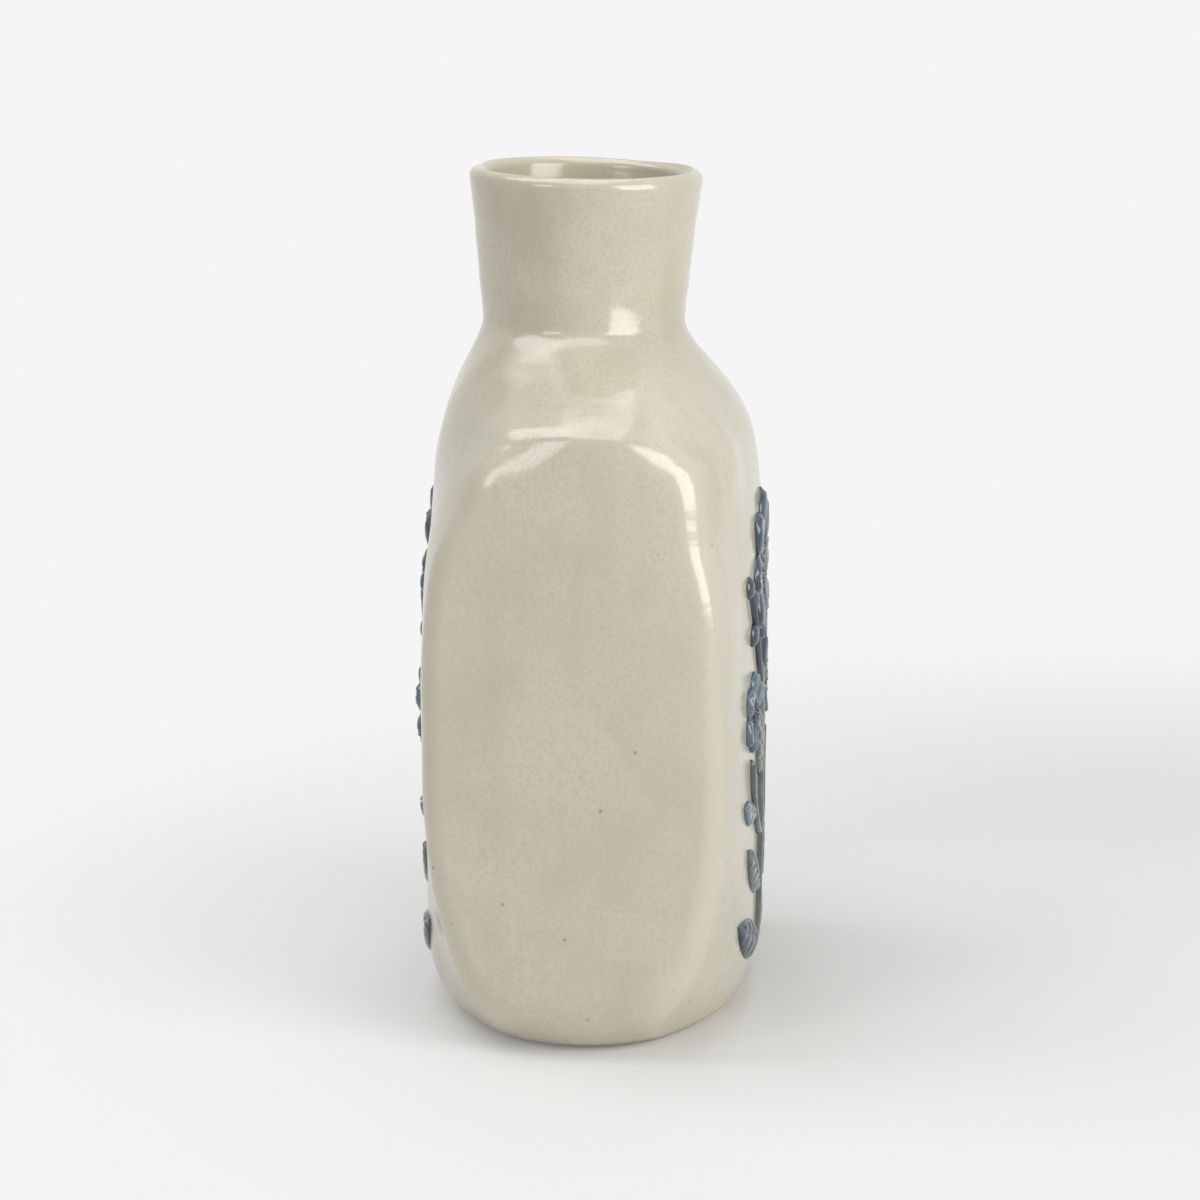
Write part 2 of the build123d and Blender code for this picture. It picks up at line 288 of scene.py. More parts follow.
@dataclass(frozen=True)
class Specks:
    """Iron spots that bleed through the glaze.

    There are scale cells to a metre. The share kept of them holds one spot each, with its radius as a share
    of the cell, and strength says how dark the spots get.
    """

    scale: float
    radius: float
    kept: float
    strength: float
    kept_fade: float = 0.02
    core_share: float = 0.25
    faintest: float = 0.4

    def amount(self, nodes: Nodes, place: object) -> Term:
        """How strongly a place is spotted."""
        cells = nodes.node("ShaderNodeTexVoronoi", None, {"Vector": place, "Scale": self.scale})
        chance = nodes.node("ShaderNodeSeparateColor", None, {0: cells.outputs["Color"]})
        present = Term(nodes, chance.outputs[0]).step(self.kept, self.kept - self.kept_fade)
        tone = Term(nodes, chance.outputs[1]) * (1 - self.faintest) + self.faintest
        spot = Term(nodes, cells.outputs["Distance"]).step(self.radius, self.radius * self.core_share)
        return spot * present * tone * self.strength


@dataclass(frozen=True)
class CreamGlaze:
    """Glossy putty-coloured glaze over a speckled clay, thin at the ridges and bare under the foot."""

    body: Colour = srgb(203, 196, 175)
    pale: Colour = srgb(215, 209, 189)
    shade: Colour = srgb(188, 181, 157)
    green: Colour = srgb(186, 190, 172)
    milk: Colour = srgb(204, 206, 196)
    inside: Colour = srgb(204, 192, 168)
    iron: Colour = srgb(126, 104, 76)
    clay: Colour = srgb(196, 178, 150)
    cloud_scale: float = 16.0
    mottle_scale: float = 60.0
    grain_scale: float = 1100.0
    streak_scale: tuple[float, float, float] = (70.0, 70.0, 9.0)
    wipe_scale: tuple[float, float, float] = (38.0, 38.0, 210.0)
    cloud_veil: Veil = Veil(0.35, 0.72, 0.55)
    mottle_veil: Veil = Veil(0.45, 0.78, 0.5)
    streak_veil: Veil = Veil(0.48, 0.72, 0.65)
    grain_veil: Veil = Veil(0.42, 0.7, 0.45)
    halo_veil: Veil = Veil(0.35, 0.7, 0.45)
    edge_share: float = 0.45
    broad_share: float = 0.2
    inside_share: float = 0.7
    bare_span: tuple[float, float] = (0.35, 0.65)
    spots: Specks = Specks(95.0, 0.062, 0.8, 0.75)
    dust: Specks = Specks(300.0, 0.09, 0.3, 0.7)
    darkest_speck: float = 0.85
    gloss_roughness: float = 0.13
    mottle_roughness: float = 0.08
    bare_roughness: float = 0.5
    wipe_share: float = 0.8
    ripple_height: float = 0.00022
    pit_height: float = 0.000012

    def build(self) -> bpy.types.Material:
        """Makes the material.

        Returns:
            The glaze, which reads the mesh's edge, broad, halo, inside and bare values.
        """
        material, nodes = new_material(Slot.CREAM.value)
        place = nodes.object_place()
        cloud = nodes.noise(place, self.cloud_scale)
        mottle = nodes.noise(place, self.mottle_scale, 4.0)
        streak = nodes.noise(nodes.stretched(place, self.streak_scale), 1.0, 3.0)
        wipe = nodes.noise(nodes.stretched(place, self.wipe_scale), 1.0)
        grain = nodes.noise(place, self.grain_scale)
        bare = nodes.attribute("bare").step(*self.bare_span)
        specks = self.spots.amount(nodes, place) + self.dust.amount(nodes, place)
        layers = (
            (self.cloud_veil.amount(cloud), self.pale),
            (self.mottle_veil.amount(mottle), self.shade),
            (self.streak_veil.amount(streak), self.shade),
            (self.grain_veil.amount(grain), self.shade),
            (nodes.attribute("edge") * self.edge_share, self.pale),
            (nodes.attribute("broad") * mottle * self.broad_share, self.green),
            (nodes.attribute("halo") * self.halo_veil.amount(mottle), self.milk),
            (nodes.attribute("inside") * self.inside_share, self.inside),
            (specks.at_most(self.darkest_speck), self.iron),
            (bare, self.clay),
        )
        colour: object = self.body
        for amount, over in layers:
            colour = nodes.mix(amount, colour, over)
        roughness = mottle * self.mottle_roughness + bare * self.bare_roughness + self.gloss_roughness
        ripple = nodes.bump(mottle * (1 - bare) + cloud + wipe * self.wipe_share, self.ripple_height)
        glazed(nodes, colour, roughness, nodes.bump(grain, self.pit_height, ripple))
        return material


@dataclass(frozen=True)
class ReliefGlaze:
    """Coloured glaze that pools dark in the hollows of the relief and breaks pale over its crests."""

    slot: Slot
    deep: Colour
    body: Colour
    crest: Colour
    wash_scale: float = 90.0
    fleck_scale: float = 420.0
    wash_span: tuple[float, float] = (0.32, 0.7)
    hollow_veil: Veil = Veil(0.45, 0.05, 0.7)
    crest_veil: Veil = Veil(0.78, 1.1, 0.75)
    wash_share: float = 0.5
    fleck_share: float = 0.4
    gloss_roughness: float = 0.12
    fleck_roughness: float = 0.12
    ripple_height: float = 0.00012

    def build(self) -> bpy.types.Material:
        """Makes the material.

        Returns:
            The glaze, which reads the mesh's rise value, 0 at the wall and 1 at the relief's full height.
        """
        material, nodes = new_material(self.slot.value)
        place = nodes.object_place()
        wash = nodes.noise(place, self.wash_scale, 4.0)
        fleck = nodes.noise(place, self.fleck_scale, 3.0)
        rise = nodes.attribute("rise")
        uneven = (wash - 0.5) * self.wash_share + (fleck - 0.5) * self.fleck_share
        colour = nodes.mix(wash.step(*self.wash_span), self.deep, self.body)
        colour = nodes.mix(self.hollow_veil.amount(rise), colour, self.deep)
        colour = nodes.mix(self.crest_veil.amount(rise + uneven), colour, self.crest)
        roughness = fleck * self.fleck_roughness + self.gloss_roughness
        ripple = nodes.bump(wash + fleck * self.fleck_share, self.ripple_height)
        glazed(nodes, colour, roughness, ripple)
        return material


RELIEF_GLAZES = (
    ReliefGlaze(Slot.NAVY, srgb(32, 46, 60), srgb(48, 66, 82), srgb(98, 118, 128)),
    ReliefGlaze(Slot.SLATE, srgb(62, 82, 98), srgb(90, 112, 124), srgb(146, 162, 166)),
    ReliefGlaze(Slot.SAGE, srgb(68, 81, 79), srgb(100, 113, 107), srgb(150, 159, 148)),
)


# The vase's form


@dataclass(frozen=True)
class VaseForm:
    """Sections of the vase in millimetres: X across the broad faces, Y through them, Z up from the base.

    They follow the solids, but towards the foot the ridges are softer.
    """

    body_width: float = 118.0
    body_depth: float = 79.6
    body_taper: float = 2.6
    seam_height: float = 165.0
    wall: float = 4.2
    base_thickness: float = 6.0
    base_width: float = 88.0
    base_depth: float = 66.0
    foot_rise_width: float = 15.0
    foot_rise_depth: float = 18.0
    foot_width_power: float = 2.0
    foot_depth_power: float = 1.8
    shoulder_reach_width: float = 13.5
    shoulder_reach_depth: float = 17.05
    shoulder_fillet: float = 6.0
    shoulder_width_power: float = 12.0
    shoulder_depth_power: float = 1.7
    rounding_reach: float = 17.0
    belly_height: float = 75.0
    ridge_top_drop: float = 27.0
    ridge_radius: float = 5.6
    ridge_end_radius: float = 9.5
    ridge_low_radius: float = 17.0
    ridge_base_radius: float = 14.0
    ridge_power: float = 3.0
    ridge_fade_power: float = 3.0
    face_crown: float = 4.6
    face_crown_top: float = 11.0
    face_crown_low: float = 20.0
    face_crown_base: float = 8.8
    face_top_power: float = 4.0
    face_low_power: float = 3.0
    side_crown: float = 1.2
    side_crown_base: float = 4.0
    shoulder_crown: float = 1.6
    crown_fade_power: float = 1.5
    arch_crown: float = 7.0
    arch_reach: float = 14.0
    arch_top_drop: float = 16.0
    collar_height: float = 35.0
    neck_radius: float = 23.7
    mouth_radius: float = 27.2
    neck_offset: float = 2.6
    collar_hollow: float = 0.35
    neck_round_share: float = 0.985
    neck_crown_share: float = 0.146
    inset_steps: int = 24

    @staticmethod
    def swell(z: np.ndarray, rise: float, power: float) -> np.ndarray:
        """How much of the body's size the rounded foot has reached at a height, from 0 to 1."""
        left = np.clip(1 - z / rise, 0.0, 1.0)
        return (1 - left ** power) ** (1 / power)

    def settle(self, z: np.ndarray) -> np.ndarray:
        """How much of the body's depth is left at a height, down to 0 at the neck, in one sweep."""
        drop = np.maximum(self.seam_height - z, 0)
        return 1 - np.exp(-(drop / self.shoulder_reach_depth) ** self.shoulder_depth_power)

    def square_up(self, z: np.ndarray) -> np.ndarray:
        """How much of the body's width is left at a height: a fillet at the neck, a slope, a soft corner."""
        drop = np.maximum(self.seam_height - z, 0)
        share = (np.hypot(drop, self.shoulder_fillet) - self.shoulder_fillet) / self.shoulder_reach_width
        return share / (1 + share ** self.shoulder_width_power) ** (1 / self.shoulder_width_power)

    def half_width(self, z: np.ndarray) -> np.ndarray:
        """Half the body's width at a height."""
        foot = self.base_width / 2
        body = blend(foot, self.body_width / 2, self.swell(z, self.foot_rise_width, self.foot_width_power))
        return blend(self.neck_radius, body, self.square_up(z))

    def half_depth(self, z: np.ndarray) -> np.ndarray:
        """Half the body's depth at a height, which tapers a little towards the shoulder."""
        full = (self.body_depth - self.body_taper * z / self.seam_height) / 2
        body = blend(self.base_depth / 2, full, self.swell(z, self.foot_rise_depth, self.foot_depth_power))
        return blend(self.neck_radius, body, self.settle(z))

    def inset(self, profile: Callable[[np.ndarray], np.ndarray], z: np.ndarray) -> np.ndarray:
        """Half size inside the wall: the profile moved in by the wall's thickness, square to it."""
        turns = np.linspace(-math.pi / 2, math.pi / 2, 2 * self.inset_steps + 1)
        heights = np.maximum(z[:, None] + self.wall * np.sin(turns), 0)
        return (profile(heights) - self.wall * np.cos(turns)).min(axis=1)

    def neck_shift(self, z: np.ndarray) -> np.ndarray:
        """How far a section stands towards the front, as the hand set the neck."""
        return -self.neck_offset * smooth(1 - (self.seam_height - z) / self.ridge_top_drop)

    def roundness(self, z: np.ndarray) -> np.ndarray:
        """How far a section has turned from a pillow into a round, from 0 to 1."""
        return np.exp(-((self.seam_height - z) / self.rounding_reach) ** 2)

    def arch(self, z: np.ndarray) -> np.ndarray:
        """How far the ridges draw in at a height, to round the gussets' upper corners."""
        below = smooth(1 - (self.seam_height - self.arch_top_drop - z) / self.arch_reach)
        return self.arch_crown * below * smooth((self.seam_height - z) / self.arch_top_drop)

    def outer(self, z: np.ndarray) -> Sections:
        """The body's outer sections.

        Args:
            z: Heights.

        Returns:
            Half width, half depth, ridge radius and ridge centre at each height.
        """
        roundness = self.roundness(z)
        foot = 1 - self.swell(z, self.foot_rise_depth, self.foot_depth_power)
        ridge_span = self.seam_height - self.ridge_top_drop - self.belly_height
        over = smooth((z - self.belly_height) / ridge_span)
        under = np.clip((self.belly_height - z) / self.belly_height, 0, 1)
        low_crown = blend(self.face_crown, self.face_crown_low, under ** self.face_low_power)
        high_crown = blend(self.face_crown, self.face_crown_top, over ** self.face_top_power)
        face_crown = np.where(z > self.belly_height, high_crown, low_crown)
        rise = np.where(z > self.belly_height, over, under)
        end_radius = np.where(z > self.belly_height, self.ridge_end_radius, self.ridge_low_radius)
        ridge = blend(self.ridge_radius, end_radius, rise ** self.ridge_power)
        radius = blend(ridge, self.ridge_base_radius, foot)
        face_crown = blend(face_crown, self.face_crown_base, foot)
        side_crown = blend(self.side_crown, self.side_crown_base, foot)
        neck_ridge = self.neck_radius * self.neck_round_share
        neck_crown = (self.neck_radius - neck_ridge) * self.neck_crown_share
        shoulder = self.shoulder_crown * 4 * roundness * (1 - roundness)
        flatness = (1 - roundness) ** self.crown_fade_power
        radius = blend(radius, neck_ridge, roundness ** self.ridge_fade_power)
        width = self.half_width(z)
        depth = self.half_depth(z)
        return {
            "width": width,
            "depth": depth,
            "radius": radius,
            "x": width - radius - blend(neck_crown, side_crown, flatness) - shoulder,
            "y": depth - radius - blend(neck_crown, face_crown, flatness) - shoulder - self.arch(z),
        }

    def hollow(self, z: np.ndarray) -> Sections:
        """Sections of the space inside the walls, in the same terms as outer."""
        over = self.outer(z)
        width = self.inset(self.half_width, z)
        depth = self.inset(self.half_depth, z)
        less = np.maximum(self.arch(z) - self.arch(z + self.wall), 0)
        return {
            "width": width,
            "depth": depth,
            "radius": over["radius"] - self.wall,
            "x": over["x"] + width - (over["width"] - self.wall),
            "y": over["y"] + depth - (over["depth"] - self.wall) + less,
        }

    @staticmethod
    def crown(sections: Sections, broad: bool) -> tuple[np.ndarray, ...]:
        """The arc that crowns a wall between its ridges.

        Args:
            sections: The body's sections.
            broad: Whether the wall is a broad face.

        Returns:
            The ridge centre along and out, how far the arc's middle lies out, its radius and where it ends.
        """
        along, out, reach = sections["x"], sections["y"], sections["depth"]
        if not broad:
            along, out, reach = sections["y"], sections["x"], sections["width"]
        rim = reach - sections["radius"]
        middle = (along ** 2 + out ** 2 - rim ** 2) / (2 * (out - rim))
        return along, out, middle, reach - middle, np.arctan2(out - middle, along)

    def face_point(self, side: np.ndarray, up: np.ndarray, turn: float) -> np.ndarray:
        """Points on a broad face's wall.

        Args:
            side: Distances sideways from the face's middle line.
            up: Heights.
            turn: 1 for the front face, -1 for the back face.

        Returns:
            The points, one to a row.
        """
        _, _, middle, arc, _ = self.crown(self.outer(up), True)
        out = middle + np.sqrt(arc ** 2 - side ** 2)
        return np.stack([turn * side, -turn * out + self.neck_shift(up), up], axis=1)

    def face_normal(self, side: np.ndarray, up: np.ndarray, turn: float, reach: float = 0.5) -> np.ndarray:
        """Directions square to a broad face's wall, pointing out of the vase."""
        across = self.face_point(side + reach, up, turn) - self.face_point(side - reach, up, turn)
        along = self.face_point(side, up + reach, turn) - self.face_point(side, up - reach, turn)
        square = np.cross(across, along)
        return square / np.linalg.norm(square, axis=1, keepdims=True)


@dataclass(frozen=True)
class Hand:
    """The unevenness that the hand leaves in the clay, in millimetres.

    It has long swells, short dents, one leaning arch with pushed-in corners, and a drawn-out neck root.
    """

    seed: int = 12
    swells: int = 9
    swell_lengths: tuple[float, float] = (60.0, 130.0)
    swell_depth: float = 0.30
    dents: int = 14
    dent_lengths: tuple[float, float] = (17.0, 36.0)
    dent_depth: float = 0.11
    still_height: float = 9.0
    arch_lean: float = 4.2
    arch_span: tuple[float, float] = (116.0, 138.0)
    arch_side: tuple[float, float] = (16.0, 42.0)
    arch_left: tuple[float, float] = (-26.0, 6.0)
    arch_least_share: float = 0.35
    root_swell: float = 3.6
    root_span: tuple[float, float, float] = (143.0, 156.0, 178.0)
    corner_push: float = 4.0
    corner_places: tuple[tuple[float, float], ...] = ((-20.0, 153.0), (28.0, 149.0))
    corner_reach: float = 21.0

    @staticmethod
    def _waves(
        draw: np.random.Generator, count: int, lengths: tuple[float, float], points: np.ndarray
    ) -> np.ndarray:
        """Adds up waves of random headings, with a mean depth of 1."""
        total = np.zeros(len(points))
        for _ in range(count):
            heading = draw.normal(size=3)
            heading *= 2 * math.pi / draw.uniform(*lengths) / np.linalg.norm(heading)
            total += np.sin(points @ heading + draw.uniform(0, 2 * math.pi))
        return total * math.sqrt(2 / count)

    def offset(self, points: np.ndarray) -> np.ndarray:
        """How far the wall stands proud at each point. The foot stays flat to stand on."""
        draw = np.random.default_rng(self.seed)
        swell = self._waves(draw, self.swells, self.swell_lengths, points) * self.swell_depth
        dent = self._waves(draw, self.dents, self.dent_lengths, points) * self.dent_depth
        return (swell + dent) * smooth(points[:, 2] / self.still_height)

    def shaped(self, points: np.ndarray) -> np.ndarray:
        """Moves points as the potter pushed them.

        The right gusset's arch leans back and its upper corners are pushed in, and the neck's root is drawn
        out to both sides.

        Args:
            points: The skin's points.

        Returns:
            The moved points.
        """
        x, y, z = points.T
        foot, top = self.arch_span
        near, full = self.arch_side
        low, high = self.arch_left
        edge, fullest, end = self.root_span
        up = smooth((z - foot) / (top - foot)) * smooth((end - z) / (end - top))
        outward = smooth((x - near) / (full - near))
        share = blend(self.arch_least_share, 1.0, smooth((y - low) / (high - low)))
        lean = self.arch_lean * up * outward * share
        turn = x / np.maximum(np.hypot(x, y), 1.0)
        swell = smooth((z - edge) / (fullest - edge)) * smooth((end - z) / (end - fullest))
        push = self.root_swell * swell * turn * np.abs(turn)
        for side, height in self.corner_places:
            close = smooth(1 - np.hypot(y - side, z - height) / self.corner_reach)
            push = push - self.corner_push * outward * close
        return np.stack([x + push, y + lean, z], axis=1)


# Meshes


@dataclass
class Pattern:
    """A mesh under construction: its points and its faces."""

    points: np.ndarray
    faces: list[tuple[int, ...]]

    def mesh(self, name: str) -> bpy.types.Mesh:
        """Makes it a Blender mesh with smooth faces."""
        made = bpy.data.meshes.new(name)
        made.from_pydata(self.points.tolist(), [], self.faces)
        made.shade_smooth()
        return made


def add_values(mesh: bpy.types.Mesh, name: str, values: np.ndarray) -> None:
    """Stores one number for each point of a mesh."""
    layer = mesh.attributes.new(name, "FLOAT", "POINT")
    layer.data.foreach_set("value", np.asarray(values, np.float32))


def show(name: str, data: bpy.types.ID) -> bpy.types.Object:
    """Puts a mesh, lamp or camera into the scene as an object at the origin."""
    made = bpy.data.objects.new(name, data)
    bpy.context.scene.collection.objects.link(made)
    return made


def fit_piece(node: str, mesh: bpy.types.Mesh, slot: Slot, finish: bpy.types.Material) -> None:
    """Makes a finished piece stand for its solid.

    Args:
        node: The solid that the piece replaces.
        mesh: The piece's mesh, in metres and in place.
        slot: The finish that the record names for it.
        finish: The material.
    """
    mesh.materials.clear()
    mesh.materials.append(finish)
    piece = show("glazed_" + node, mesh)
    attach(piece, BODY)
    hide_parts(node)
    LOG.info("%s: %d faces, %s", piece.name, len(mesh.polygons), slot.value)


@dataclass
class Body:
    """The slab-built vessel: base, two broad slabs, two gussets and the collar.

    Its whole skin is one grid of rings, run from the middle of the bottom up the outside, over the lip and
    down the inside to the middle of the floor. The pieces are cut from that grid, so that the glaze runs
    over their joints without a break.
    """

    form: VaseForm
    hand: Hand
    corner_steps: int = 7
    broad_steps: int = 68
    side_steps: int = 38
    disc_shares: tuple[float, ...] = (0.15, 0.35, 0.55, 0.72, 0.85, 0.93, 0.98)
    foot_rows: int = 12
    foot_row_power: float = 2.0
    low_rows: int = 18
    belly_rows: int = 62
    shoulder_rows: int = 46
    collar_rows: int = 26
    lip_rows: int = 14
    rim_tilt: float = 1.5
    rim_tilt_start: float = 150.0
    ring_depth: float = 0.06
    ring_pitch: float = 9.5
    ring_start: float = 6.0
    ring_end: float = 5.0
    bare_height: float = 0.7
    halo_reach: float = 2.4
    edge_full: float = 1.25
    edge_fall: float = 0.75
    broad_reach: float = 4.0
    ring_names: dict[str, int] = field(default_factory=dict)

    def wall_heights(self) -> np.ndarray:
        """Heights of the rings from the top of the base to the collar's seam."""
        low = np.linspace(self.form.base_thickness, self.form.foot_rise_depth, self.low_rows, endpoint=False)
        ridge_top = self.form.seam_height - self.form.ridge_top_drop
        belly = np.linspace(self.form.foot_rise_depth, ridge_top, self.belly_rows, endpoint=False)
        shoulder = np.linspace(ridge_top, self.form.seam_height, self.shoulder_rows)
        return np.concatenate([low, belly, shoulder])

    def wall_columns(self, panel: Panel) -> int:
        """How many columns of the grid a wall takes."""
        return 2 * self.corner_steps + (self.broad_steps if panel.broad else self.side_steps)

    def first_column(self, panel: Panel) -> int:
        """The column at a wall's first ridge."""
        order = list(Panel)
        return sum(self.wall_columns(before) for before in order[:order.index(panel)])

    @property
    def columns(self) -> int:
        """How many columns the whole grid has."""
        return sum(self.wall_columns(panel) for panel in Panel)

    def ring_stack(self, sections: Sections, z: np.ndarray) -> np.ndarray:
        """Rings of points round a run of sections.

        Args:
            sections: The sections.
            z: Their heights.

        Returns:
            Points by ring, column and axis.
        """
        runs = []
        for panel in Panel:
            along, out, middle, arc, end = (item[:, None] for item in self.form.crown(sections, panel.broad))
            radius = sections["radius"][:, None]
            corner = np.linspace(1, 0, self.corner_steps + 1)
            turn = blend(end, math.pi / 4, corner)
            steps = self.broad_steps if panel.broad else self.side_steps
            crown = blend(math.pi - end, end, np.linspace(0, 1, steps + 1)[1:-1])
            corner_along = along + radius * np.cos(turn)
            corner_out = out + radius * np.sin(turn)
            run_along = [-corner_along, arc * np.cos(crown), corner_along[:, ::-1][:, :-1]]
            run_out = [corner_out, middle + arc * np.sin(crown), corner_out[:, ::-1][:, :-1]]
            runs.append(panel.place(np.concatenate(run_along, axis=1), np.concatenate(run_out, axis=1)))
        x = np.concatenate([run[0] for run in runs], axis=1)
        y = np.concatenate([run[1] for run in runs], axis=1) + self.form.neck_shift(z)[:, None]
        return np.stack([x, y, np.broadcast_to(z[:, None], x.shape)], axis=2)

    def collar_rings(self, seam: np.ndarray, inner_seam: np.ndarray) -> np.ndarray:
        """Rings of the collar, up its outside, over the lip and down its inside, without the two seams."""
        form = self.form
        lip_height = form.seam_height + form.collar_height - form.wall / 2
        share = np.linspace(0, 1, self.collar_rows + 1)[1:]
        flare = blend(form.neck_radius, form.mouth_radius, share)
        flare = flare - form.collar_hollow * 4 * share * (1 - share)
        height = blend(form.seam_height, lip_height, share)
        lip = np.linspace(0, math.pi, self.lip_rows + 1)[1:]
        lip_radius = form.mouth_radius - form.wall / 2 + form.wall / 2 * np.cos(lip)
        radius = np.concatenate([flare, lip_radius, flare[-2::-1] - form.wall])
        z = np.concatenate([height, lip_height + form.wall / 2 * np.sin(lip), height[-2::-1]])
        turns = [np.arctan2(ring[:, 1] + form.neck_offset, ring[:, 0]) for ring in (seam, inner_seam)]
        inward = np.clip((np.arange(len(radius)) - self.collar_rows) / self.lip_rows, 0, 1)
        step = np.angle(np.exp(1j * (turns[1] - turns[0])))
        turn = turns[0] + inward[:, None] * step
        finger = self.ring_depth * np.sin(2 * math.pi * z / self.ring_pitch)
        finger = finger * smooth((z - form.seam_height) / self.ring_start)
        radius = radius + finger * smooth((lip_height - z) / self.ring_end)
        x = radius[:, None] * np.cos(turn)
        y = radius[:, None] * np.sin(turn) - form.neck_offset
        return np.stack([x, y, np.broadcast_to(z[:, None], x.shape)], axis=2)

    def rings(self) -> np.ndarray:
        """Every ring of the skin in order, and notes which ring starts which stretch."""
        form = self.form
        foot_share = np.linspace(0, 1, self.foot_rows + 1)[:-1] ** self.foot_row_power
        foot_z = form.base_thickness * foot_share
        wall_z = self.wall_heights()
        outside_z = np.concatenate([foot_z, wall_z])
        outside = self.ring_stack(form.outer(outside_z), outside_z)
        inside = self.ring_stack(form.hollow(wall_z), wall_z)[::-1]
        shares = np.array(self.disc_shares)[:, None, None]
        flat = np.array([1.0, 1.0, 0.0])
        bottom = outside[0] * flat * shares
        floor = inside[-1] * flat * shares[::-1] + np.array([0, 0, form.base_thickness])
        collar = self.collar_rings(outside[-1], inside[0])
        stretches = {"bottom": bottom, "foot": outside[:self.foot_rows], "wall": outside[self.foot_rows:]}
        stretches.update({"collar": collar, "inside": inside, "floor": floor})
        start = 0
        for name, stretch in stretches.items():
            self.ring_names[name] = start
            start += len(stretch)
        self.ring_names["end"] = start
        return np.concatenate(list(stretches.values()))

    def corner(self, ring: int, column: int) -> int:
        """The number of a grid point; columns run on round the vase."""
        return ring * self.columns + column % self.columns

    def strip(self, low: int, high: int, first: int, count: int) -> list[tuple[int, ...]]:
        """Faces between two rings over a run of columns, seen from the side to the ring's right."""
        return [
            (self.corner(low, c), self.corner(low, c + 1), self.corner(high, c + 1), self.corner(high, c))
            for c in range(first, first + count)
        ]

    def run(self, low: int, high: int, first: int = 0, count: int | None = None) -> list[tuple[int, ...]]:
        """Faces from one ring on to a later one."""
        taken = self.columns if count is None else count
        return [face for ring in range(low, high) for face in self.strip(ring, ring + 1, first, taken)]

    def fan(self, ring: int, pole: int, turned: bool) -> list[tuple[int, ...]]:
        """Faces from a ring to a middle point."""
        pairs = [(self.corner(ring, c), self.corner(ring, c + 1)) for c in range(self.columns)]
        return [(pole, b, a) if turned else (a, b, pole) for a, b in pairs]

    def skin(self) -> tuple[np.ndarray, np.ndarray]:
        """Points and smooth directions of the whole skin, as uneven as the hand left it."""
        rings = self.rings()
        marks = self.ring_names
        poles = np.array([[0, 0, 0], [0, 0, self.form.base_thickness]])
        points = np.concatenate([rings.reshape(-1, 3), poles])
        bottom, floor = len(points) - 2, len(points) - 1
        faces = self.fan(0, bottom, True) + self.run(0, marks["end"] - 1)
        faces += self.fan(marks["end"] - 1, floor, False)
        inner = np.zeros(len(points), bool)
        inner[self.corner(marks["collar"] + self.collar_rows + self.lip_rows // 2, 0):bottom] = True
        shape = Pattern(points, faces)
        square = self.directions(shape)
        shape.points = points + square * (self.hand.offset(points) * np.where(inner, -1, 1))[:, None]
        shape.points = self.hand.shaped(shape.points)
        lean = math.tan(math.radians(self.rim_tilt)) * (shape.points[:, 1] + self.form.neck_offset)
        top = self.form.seam_height + self.form.collar_height
        span = (shape.points[:, 2] - self.rim_tilt_start) / (top - self.rim_tilt_start)
        shape.points[:, 2] -= lean * smooth(span) * (np.arange(len(points)) < self.corner(marks["inside"], 0))
        return shape.points, self.directions(shape)

    @staticmethod
    def directions(shape: Pattern) -> np.ndarray:
        """The direction square to a mesh at each of its points."""
        mesh = shape.mesh("skin")
        found = np.zeros(len(shape.points) * 3, np.float32)
        mesh.vertex_normals.foreach_get("vector", found)
        bpy.data.meshes.remove(mesh)
        return found.reshape(-1, 3).astype(float)

    def values(self, points: np.ndarray, relief: Iterable[Vector]) -> dict[str, np.ndarray]:
        """What the glaze needs to know at each point of the skin.

        Args:
            points: The skin's points.
            relief: Points on the sprigs, in millimetres.

        Returns:
            Values from 0 to 1 by name: near a ridge, on a broad face, near the relief, inside, unglazed.
        """
        marks = self.ring_names
        column = np.tile(np.arange(self.columns), marks["end"])
        column = np.concatenate([column, [0, 0]])
        edge = np.zeros(self.columns)
        broad = np.zeros(self.columns)
        for panel in Panel:
            start, count = self.first_column(panel), self.wall_columns(panel)
            inward = np.minimum(np.arange(count), count - np.arange(count)) / self.corner_steps
            edge[start:start + count] = smooth(self.edge_full - inward * self.edge_fall)
            if panel.broad:
                broad[start:start + count] = smooth(inward / self.broad_reach)
        number = np.arange(len(points))
        body = (number >= self.corner(marks["foot"], 0)) & (number < self.corner(marks["collar"], 0))
        fade = body * smooth((self.form.seam_height - points[:, 2]) / self.form.ridge_top_drop)
        seats = list(relief)
        tree = kdtree.KDTree(len(seats))
        for place, seat in enumerate(seats):
            tree.insert(seat, place)
        tree.balance()
        halo = np.zeros(len(points))
        for place in np.nonzero(body & (broad[column] > 0))[0]:
            halo[place] = math.exp(-(tree.find(Vector(points[place]))[2] / self.halo_reach) ** 2)
        inside = number >= self.corner(marks["collar"] + self.collar_rows + self.lip_rows * 2 // 3, 0)
        under = (points[:, 2] < self.bare_height) & ~inside
        return {
            "edge": edge[column] * fade,
            "broad": broad[column] * fade,
            "halo": halo,
            "inside": inside.astype(float),
            "bare": under.astype(float),
        }

